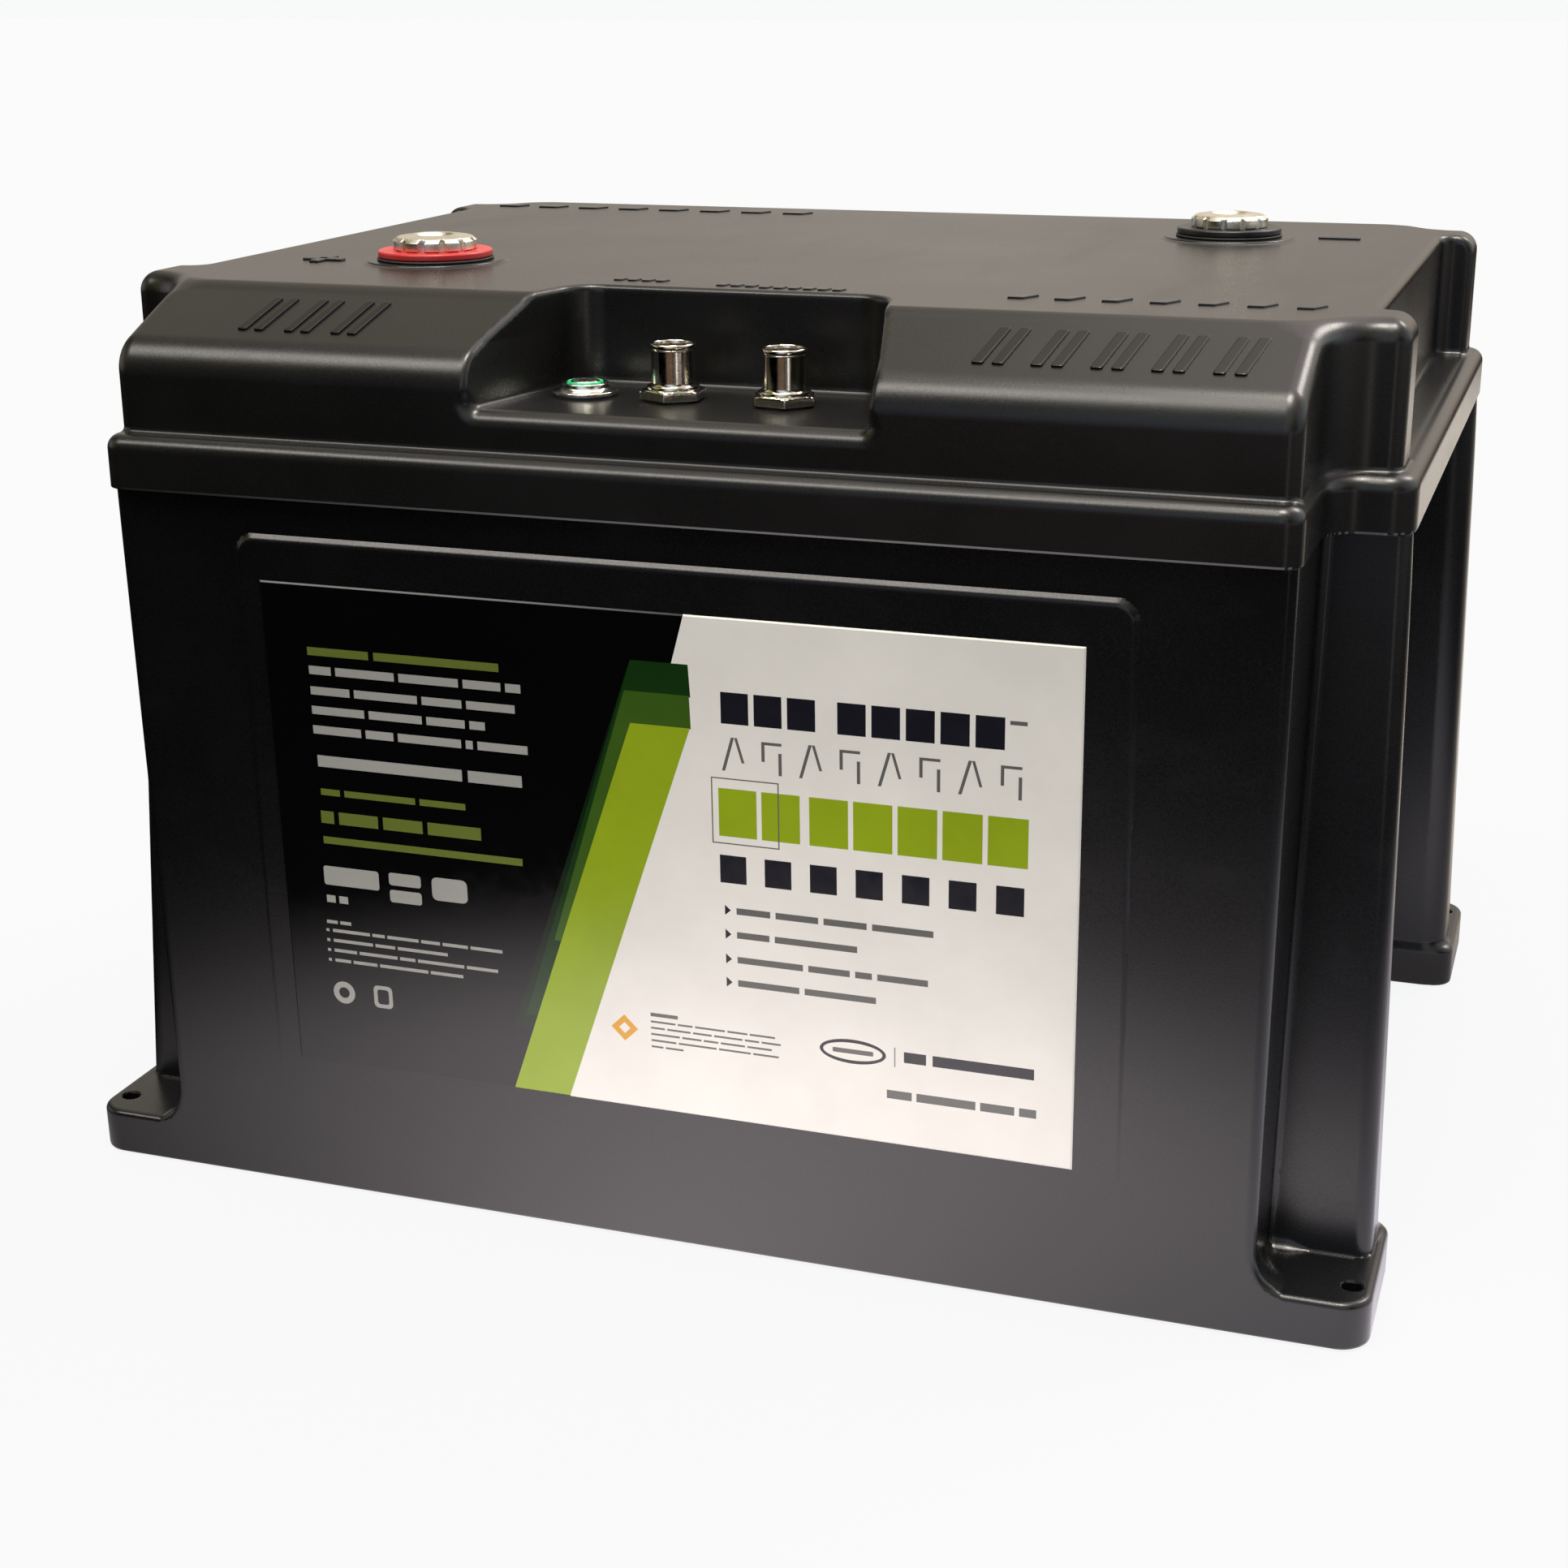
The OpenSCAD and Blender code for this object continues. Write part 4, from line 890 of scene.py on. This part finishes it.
# leaning green bands
lean = (7.6 + 32.0) / (156.0 - 42.4)
px = lambda x, z: x - (156.0 - z) * lean
put("label_shade", [(px(-15.5, 62), 62), (px(-9, 62), 62), (-1.0, 172.8), (-9.2, 172.8)])
put("label_deep", [(px(-13.0, 66), 66), (px(-8, 66), 66), (-5.5, 164.6), (8.0 + 0.0, 164.6), (7.5, 173.6), (-8.8, 173.6)])
put("label_mid", [(px(-11.6, 90), 90), (px(-8, 90), 90), (-6.0, 155.8), (7.9, 155.8), (7.6, 165.0), (-10.8, 165.0)])
put("label_lime", [(-49.2, 42.4), (-32.0, 42.4), (7.6, 156.0), (-9.4, 156.0)])
# left column, pale on black
words("label_olive", -105.2, 166.4, -47.2, 169.6, [6, 12], 1.6)
words("label_text", -105.1, 160.9, -41.0, 164.2, [3, 8, 8, 5, 2], 1.4)
words("label_text", -105.1, 155.0, -43.0, 158.2, [5, 8, 5, 6], 1.4)
words("label_text", -105.2, 149.3, -52.2, 152.5, [7, 7, 5, 2], 1.4)
words("label_text", -105.3, 143.5, -39.8, 146.8, [7, 4, 9, 1, 7], 1.4)
words("label_text", -104.7, 133.6, -42.0, 138.2, [11, 4], 1.8)
words("label_olive", -104.5, 125.4, -59.6, 128.0, [3, 11, 7], 1.4)
words("label_olive", -105.1, 116.6, -55.3, 121.6, [1, 3, 3, 4], 1.6)
words("label_olive", -104.9, 110.7, -43.1, 113.6, [1], 1)
bar("label_text", -105.7, 98.4, -88.2, 104.2, 0, 0.8)
bar("label_text", -85.0, 100.6, -75.0, 104.4, 0, 0.8)
bar("label_text", -85.0, 95.4, -75.0, 99.2, 0, 0.8)
bar("label_text", -71.6, 97.6, -60.6, 104.6, 0, 1.6)
words("label_text", -105.4, 92.6, -98.6, 95.6, [1, 1], 1.2)
words("label_text", -106.0, 86.2, -98.2, 87.6, [1, 1], 0.8)
for i, (x1, pat) in enumerate(((-50.8, [6, 2, 5, 3, 4, 5]), (-68.0, [4, 2, 5]), (-52.5, [3, 5, 2, 6, 4]), (-63.5, [2, 3, 6, 4]))):
    z = 83.6 - 3.1 * i
    bar("label_text", -106.4, z + 0.2, -105.4, z + 1.1)
    words("label_text", -104.3, z, x1, z + 1.35, pat, 0.8)
for x0 in (-105.6, -93.0):
    ring = [(x0 + 3.4 + 3.5 * math.cos(a * math.pi / 10), 64.9 + 3.5 * math.sin(a * math.pi / 10)) for a in range(20)]
    hole = [(x0 + 3.4 + 1.7 * math.cos(a * math.pi / 8), 64.9 + 1.7 * math.sin(a * math.pi / 8)) for a in range(16)]
    if x0 < -100:
        put("label_text", ring)
        put("label_gloss", hole)
    else:
        bar("label_text", x0 + 0.4, 61.6, x0 + 6.4, 68.6, 0, 1.4)
        bar("label_gloss", x0 + 1.6, 62.8, x0 + 5.2, 67.4, 0, 0.8)
# right column, dark and green on white
cells_row("label_ink", 16.4, 158.3, 93.0, 167.0, [3, 5], 1.5, 6.0)
bar("label_grey", 94.3, 165.2, 98.8, 166.3)
for i in range(8):
    x = 16.4 + i * 10.75
    h0, h1 = 145.2, 154.6
    if i % 2 == 0:
        put("label_grey", [(x, h0), (x + 0.9, h0), (x + 3.6, h1), (x + 2.7, h1)])
        put("label_grey", [(x + 5.6, h0 + 2.5), (x + 6.4, h0 + 2.5), (x + 4.4, h1), (x + 3.6, h1)])
    else:
        bar("label_grey", x + 0.4, h0 + 3.5, x + 1.3, h1 - 0.4)
        bar("label_grey", x + 1.3, h1 - 1.2, x + 6.0, h1 - 0.4)
        bar("label_grey", x + 5.1, h0, x + 6.0, h1 - 3.2)
w = cells_row("label_lime", 15.2, 126.6, 99.6, 140.2, [2, 5], 1.4, 2.6)
for seg in ((13.2, 124.4, 32.2, 124.75), (13.2, 142.8, 32.2, 143.15), (13.2, 124.4, 13.55, 143.15), (31.85, 124.4, 32.2, 143.15)):
    bar("label_grey", *seg)
cells_row("label_ink", 15.2, 113.2, 98.8, 121.2, [7], 5.2, 0)
for z0_, x1, pat in ((103.6, 74.6, [4, 5, 5, 7]), (96.6, 53.6, [4, 10]), (89.3, 73.2, [8, 5, 2, 6]), (82.4, 58.8, [7, 8])):
    put("label_ink", [(16.3, z0_ + 0.2), (18.0, z0_ + 1.7), (16.3, z0_ + 3.2)])
    words("label_grey", 19.6, z0_ + 0.35, x1, z0_ + 2.9, pat, 1.5)
put("label_amber", [(-18.4, 66.0), (-14.4, 62.0), (-10.4, 66.0), (-14.4, 70.0)])
put("label", [(-16.1, 66.0), (-14.4, 64.3), (-12.7, 66.0), (-14.4, 67.7)])
bar("label_grey", -6.5, 70.6, 1.6, 71.7)
for i, (x1, pat) in enumerate(((30.0, [5, 3, 6, 4, 5]), (31.6, [3, 5, 4, 6, 3, 4]), (29.0, [6, 4, 3, 5, 5]), (31.0, [4, 6, 5, 4]), (3.0, [2, 3]))):
    words("label_grey", -6.5, 68.6 - 1.9 * i, x1, 69.4 - 1.9 * i, pat, 0.7)
for a, b_, mt in ((9.4, 3.6, "label_ink"), (8.4, 2.6, "label")):
    put(mt, [(52.2 + a * math.cos(t * math.pi / 20), 68.1 + b_ * math.sin(t * math.pi / 20)) for t in range(40)])
bar("label_grey", 46.5, 67.4, 58.0, 68.8, 0, 0.3)
bar("label_grey", 63.9, 65.2, 64.2, 71.0)
words("label_ink", 66.6, 66.3, 102.4, 70.6, [2, 9], 1.8)
words("label_grey", 61.8, 55.2, 103.2, 58.6, [3, 7, 4, 2], 1.3)

pts, edges, faces_in = [], [], []
outline = [(LX0, LZ0), (LX1, LZ0), (LX1, LZ1), (LX0, LZ1)]
for mt, poly in [("label_gloss", outline)] + areas:
    n0 = len(pts)
    pts += [Vector((float(x), float(z))) for x, z in poly]
    # counter-clockwise
    area = sum(poly[i][0] * poly[(i + 1) % len(poly)][1] - poly[(i + 1) % len(poly)][0] * poly[i][1] for i in range(len(poly)))
    ids = list(range(n0, n0 + len(poly)))
    faces_in.append(ids if area > 0 else ids[::-1])
names = ["label_gloss"] + [mt for mt, _ in areas]
vo, eo, fo, _, _, forig = delaunay_2d_cdt(pts, [], faces_in, 2, 1e-5, True)
used = []
for mt in names:
    if mt not in used:
        used.append(mt)
b = Builder()
nv = len(vo)
vs = [(p[0], lab_y(p[1]), p[1]) for p in vo]
tris = [tuple(t) for t in fo]
ti = [used.index(names[max(o_)]) if o_ else 0 for o_ in forig]
# face winding so that the front looks to -Y
fixed = []
for t in tris:
    a, bb, cc = (Vector(vs[i]) for i in t[:3])
    nrm = (bb - a).cross(cc - a)
    fixed.append(t if nrm.y < 0 else t[::-1])
count = {}
for t in fixed:
    for i in range(len(t)):
        e = (t[i], t[(i + 1) % len(t)])
        count[e] = count.get(e, 0) + 1
rim_e = [e for e in count if (e[1], e[0]) not in count]
edge = lambda u, lo_, hi_: -0.45 if abs(u - lo_) < 1e-3 else (0.45 if abs(u - hi_) < 1e-3 else 0.0)
back = [(x + edge(x, LX0, LX1), y + 0.30, z + edge(z, LZ0, LZ1)) for x, y, z in vs]
vs2 = vs + back
fc = list(fixed) + [tuple(i + nv for i in t[::-1]) for t in fixed]
fi = list(ti) + [0] * len(fixed)
gi = used.index("label_gloss")
wi = used.index("label")
for a, bb in rim_e:
    fc.append((bb, a, a + nv, bb + nv))
    fi.append(wi if (vs[a][0] + vs[bb][0]) / 2 > -20 else gi)
lab = piece("front_label_sheet", vs2, fc, used, replaces=["front_label"], slot="label", index=fi, sharp=20)

# --------------------------------------------------------------------------
# the CAD nodes that stay
# --------------------------------------------------------------------------
for n, o in NODES.items():
    if o.hide_render:
        continue
    mt = MAT.get(slot_of.get(n) or "", MAT["case_black"])
    o.data.materials.clear()
    o.data.materials.append(mt)
    for s_ in o.material_slots:
        s_.material = mt

# --------------------------------------------------------------------------
# stage, light and camera
# --------------------------------------------------------------------------
scene = bpy.context.scene
scene.view_settings.view_transform = "Standard"
scene.view_settings.look = "None"

# soft light sources around the table: azimuth, elevation, half width (degrees) and colour
SOFT = [
    (30, 7, 26, (0.43, 0.53, 0.58)),
    (60, 7, 26, (0.32, 0.22, 0.16)),
    (90, 7, 26, (0.35, 0.32, 0.29)),
    (120, 7, 26, (0.52, 0.47, 0.41)),
    (150, 7, 26, (0.14, 0.16, 0.14)),
    (180, 7, 26, (0.63, 0.52, 0.60)),
    (270, 7, 26, (0.39, 0.43, 0.63)),
    (0, 25, 32, (0.76, 0.80, 0.94)),
    (40, 25, 32, (0.57, 0.65, 0.51)),
    (80, 25, 32, (0.41, 0.36, 0.29)),
    (120, 25, 32, (0.11, 0.09, 0.08)),
    (200, 25, 32, (0.29, 0.30, 0.11)),
    (280, 25, 32, (0.40, 0.46, 0.45)),
    (0, 48, 38, (0.14, 0.06, 0.03)),
    (60, 48, 38, (1.15, 1.02, 1.09)),
    (120, 48, 38, (0.50, 0.46, 0.36)),
    (300, 48, 38, (0.40, 0.45, 0.32)),
    (0, 85, 42, (1.35, 1.26, 1.18)),
    (-60, 81, 13, (31.0, 29.0, 26.5)),
    (52, 44, 12, (14.0, 13.0, 12.0)),
    (-138, 51, 13, (9.0, 8.5, 7.9)),
    (-113, 60, 13, (9.0, 8.5, 7.9)),
]
# the bright tabletop near the object, seen only in reflections: azimuth, half width, distances (m), colour
TABLE = [
    (-90, 70, 0.26, 0.42, (3.3, 3.0, 3.05)),
    (85, 75, 1.35, 1.9, (1.75, 1.57, 1.38)),
    (-20, 70, 0.36, 0.62, (1.35, 1.27, 1.40)),
    (-20, 70, 3.0, 1.6, (1.05, 0.95, 0.90)),
]
PALE = (0.938, 0.947, 0.947, 1)


class Nodes:
    def __init__(self, tree):
        self.t = tree
        tree.nodes.clear()

    def new(self, kind, **k):
        n = self.t.nodes.new(kind)
        for a, v in k.items():
            setattr(n, a, v)
        return n

    def into(self, socket, v):
        if isinstance(v, bpy.types.NodeSocket):
            self.t.links.new(v, socket)
        else:
            socket.default_value = v

    def math(self, op, a, b=0.0):
        n = self.new("ShaderNodeMath", operation=op)
        self.into(n.inputs[0], a)
        self.into(n.inputs[1], b)
        return n.outputs[0]

    def vec(self, op, a, b=(0.0, 0.0, 0.0), out=0):
        n = self.new("ShaderNodeVectorMath", operation=op)
        self.into(n.inputs[0], a)
        self.into(n.inputs[1], b)
        return n.outputs[out]

    def smooth(self, v, a, b):
        n = self.new("ShaderNodeMapRange", interpolation_type="SMOOTHSTEP")
        self.into(n.inputs[0], v)
        n.inputs[1].default_value = a
        n.inputs[2].default_value = b
        return n.outputs[0]

    def tint(self, f, col):
        n = self.new("ShaderNodeVectorMath", operation="SCALE")
        n.inputs[0].default_value = col
        self.t.links.new(f, n.inputs["Scale"])
        return n.outputs[0]


w = bpy.data.worlds.new("studio")
scene.world = w
w.use_nodes = True
g = Nodes(w.node_tree)
ray = g.new("ShaderNodeLightPath").outputs["Is Camera Ray"]
way = g.new("ShaderNodeTexCoord").outputs["Generated"]
total = None
for az, el, half, col in SOFT:
    a, e = math.radians(az), math.radians(el)
    d = g.vec("DOT_PRODUCT", way, (math.cos(a) * math.cos(e), math.sin(a) * math.cos(e), math.sin(e)), "Value")
    part = g.tint(g.smooth(d, math.cos(math.radians(half)), math.cos(math.radians(4))), col)
    total = part if total is None else g.vec("ADD", total, part)
soft = g.new("ShaderNodeBackground")
g.into(soft.inputs[0], total)
seen = g.new("ShaderNodeBackground")
seen.inputs[0].default_value = PALE
mx = g.new("ShaderNodeMixShader")
for k_, v_ in enumerate((ray, soft.outputs[0], seen.outputs[0])):
    g.into(mx.inputs[k_], v_)
g.into(g.new("ShaderNodeOutputWorld").inputs[0], mx.outputs[0])
w.cycles.sampling_method = "MANUAL"
w.cycles.sample_map_resolution = 512

fm = bpy.data.materials.new("floor_pale")
fm.use_nodes = True
g = Nodes(fm.node_tree)
ray = g.new("ShaderNodeLightPath").outputs["Is Camera Ray"]
place = g.new("ShaderNodeTexCoord").outputs["Object"]
sep = g.new("ShaderNodeSeparateXYZ")
g.into(sep.inputs[0], place)
far = g.vec("LENGTH", place, (0.0, 0.0, 0.0), "Value")
ang = g.math("ARCTAN2", sep.outputs[1], sep.outputs[0])
total = None
for az, half, near, end, col in TABLE:
    off = g.math("ABSOLUTE", g.math("SUBTRACT", ang, math.radians(az)))
    sector = g.smooth(off, math.radians(half), 0.0)
    part = g.tint(g.math("MULTIPLY", sector, g.smooth(far, end, near)), col)
    total = part if total is None else g.vec("ADD", total, part)
table = g.new("ShaderNodeEmission")
g.into(table.inputs[0], total)
soft_ray = g.new("ShaderNodeLightPath").outputs["Is Diffuse Ray"]
g.into(table.inputs[1], g.math("SUBTRACT", 1.0, g.math("MULTIPLY", soft_ray, 0.45)))
paper = g.new("ShaderNodeBsdfDiffuse")
paper.inputs[0].default_value = (0.035, 0.035, 0.035, 1)
wash = g.new("ShaderNodeEmission")
wash.inputs[0].default_value = PALE
wash.inputs[1].default_value = 0.935
add = g.new("ShaderNodeAddShader")
g.into(add.inputs[0], paper.outputs[0])
g.into(add.inputs[1], wash.outputs[0])
mx = g.new("ShaderNodeMixShader")
for k_, v_ in enumerate((ray, table.outputs[0], add.outputs[0])):
    g.into(mx.inputs[k_], v_)
g.into(g.new("ShaderNodeOutputMaterial").inputs[0], mx.outputs[0])
fm.cycles.emission_sampling = "NONE"
bm = bmesh.new()
bmesh.ops.create_grid(bm, x_segments=8, y_segments=8, size=14.0)
fme = bpy.data.meshes.new("studio_floor")
bm.to_mesh(fme)
bm.free()
fme.materials.append(fm)
floor = bpy.data.objects.new("studio_floor", fme)
floor.location = (0, 0, -0.0004)
scene.collection.objects.link(floor)


def softbox(name, at, to, sx, sy, power, col=(1, 1, 1), spread=180):
    l = bpy.data.lights.new(name, "AREA")
    l.shape = "RECTANGLE"
    l.size, l.size_y = sx, sy
    l.energy = power
    l.color = col
    l.spread = math.radians(spread)
    o = bpy.data.objects.new(name, l)
    o.location = at
    o.rotation_euler = (Vector(to) - Vector(at)).to_track_quat("-Z", "Y").to_euler()
    o.visible_camera = False
    scene.collection.objects.link(o)
    return o


# a narrow upright strip and a dim brown card that draw the bands on the bright round parts
softbox("strip_right", (0.587, -0.798, 0.16), (-0.01, -0.124, 0.24), 0.055, 0.30, 0.11, (1.0, 0.93, 0.88))
softbox("card_brown", (0.02, -1.15, 0.13), (0.0, -0.124, 0.24), 0.55, 0.24, 0.055, (1.0, 0.62, 0.36))

cam = bpy.data.cameras.new("view")
cam.sensor_width = 36.0
cam.lens = 3065.2600370918394 / 1932 * 36.0
cam.clip_start, cam.clip_end = 0.01, 60
co = bpy.data.objects.new("view", cam)
R0 = (0.9463061568409578, 0.3232213026764659, -0.0057137571723545125)
R1 = (0.09666203101625895, -0.29977850059749334, -0.9490992057415969)
R2 = (-0.30848194320690475, 0.8975861184731228, -0.31492546838838686)
rot = Matrix([[R0[i], -R1[i], -R2[i]] for i in range(3)]).to_4x4()
co.matrix_world = Matrix.Translation((0.23517749221, -0.74511482633, 0.34881700081)) @ rot
scene.collection.objects.link(co)
scene.camera = co
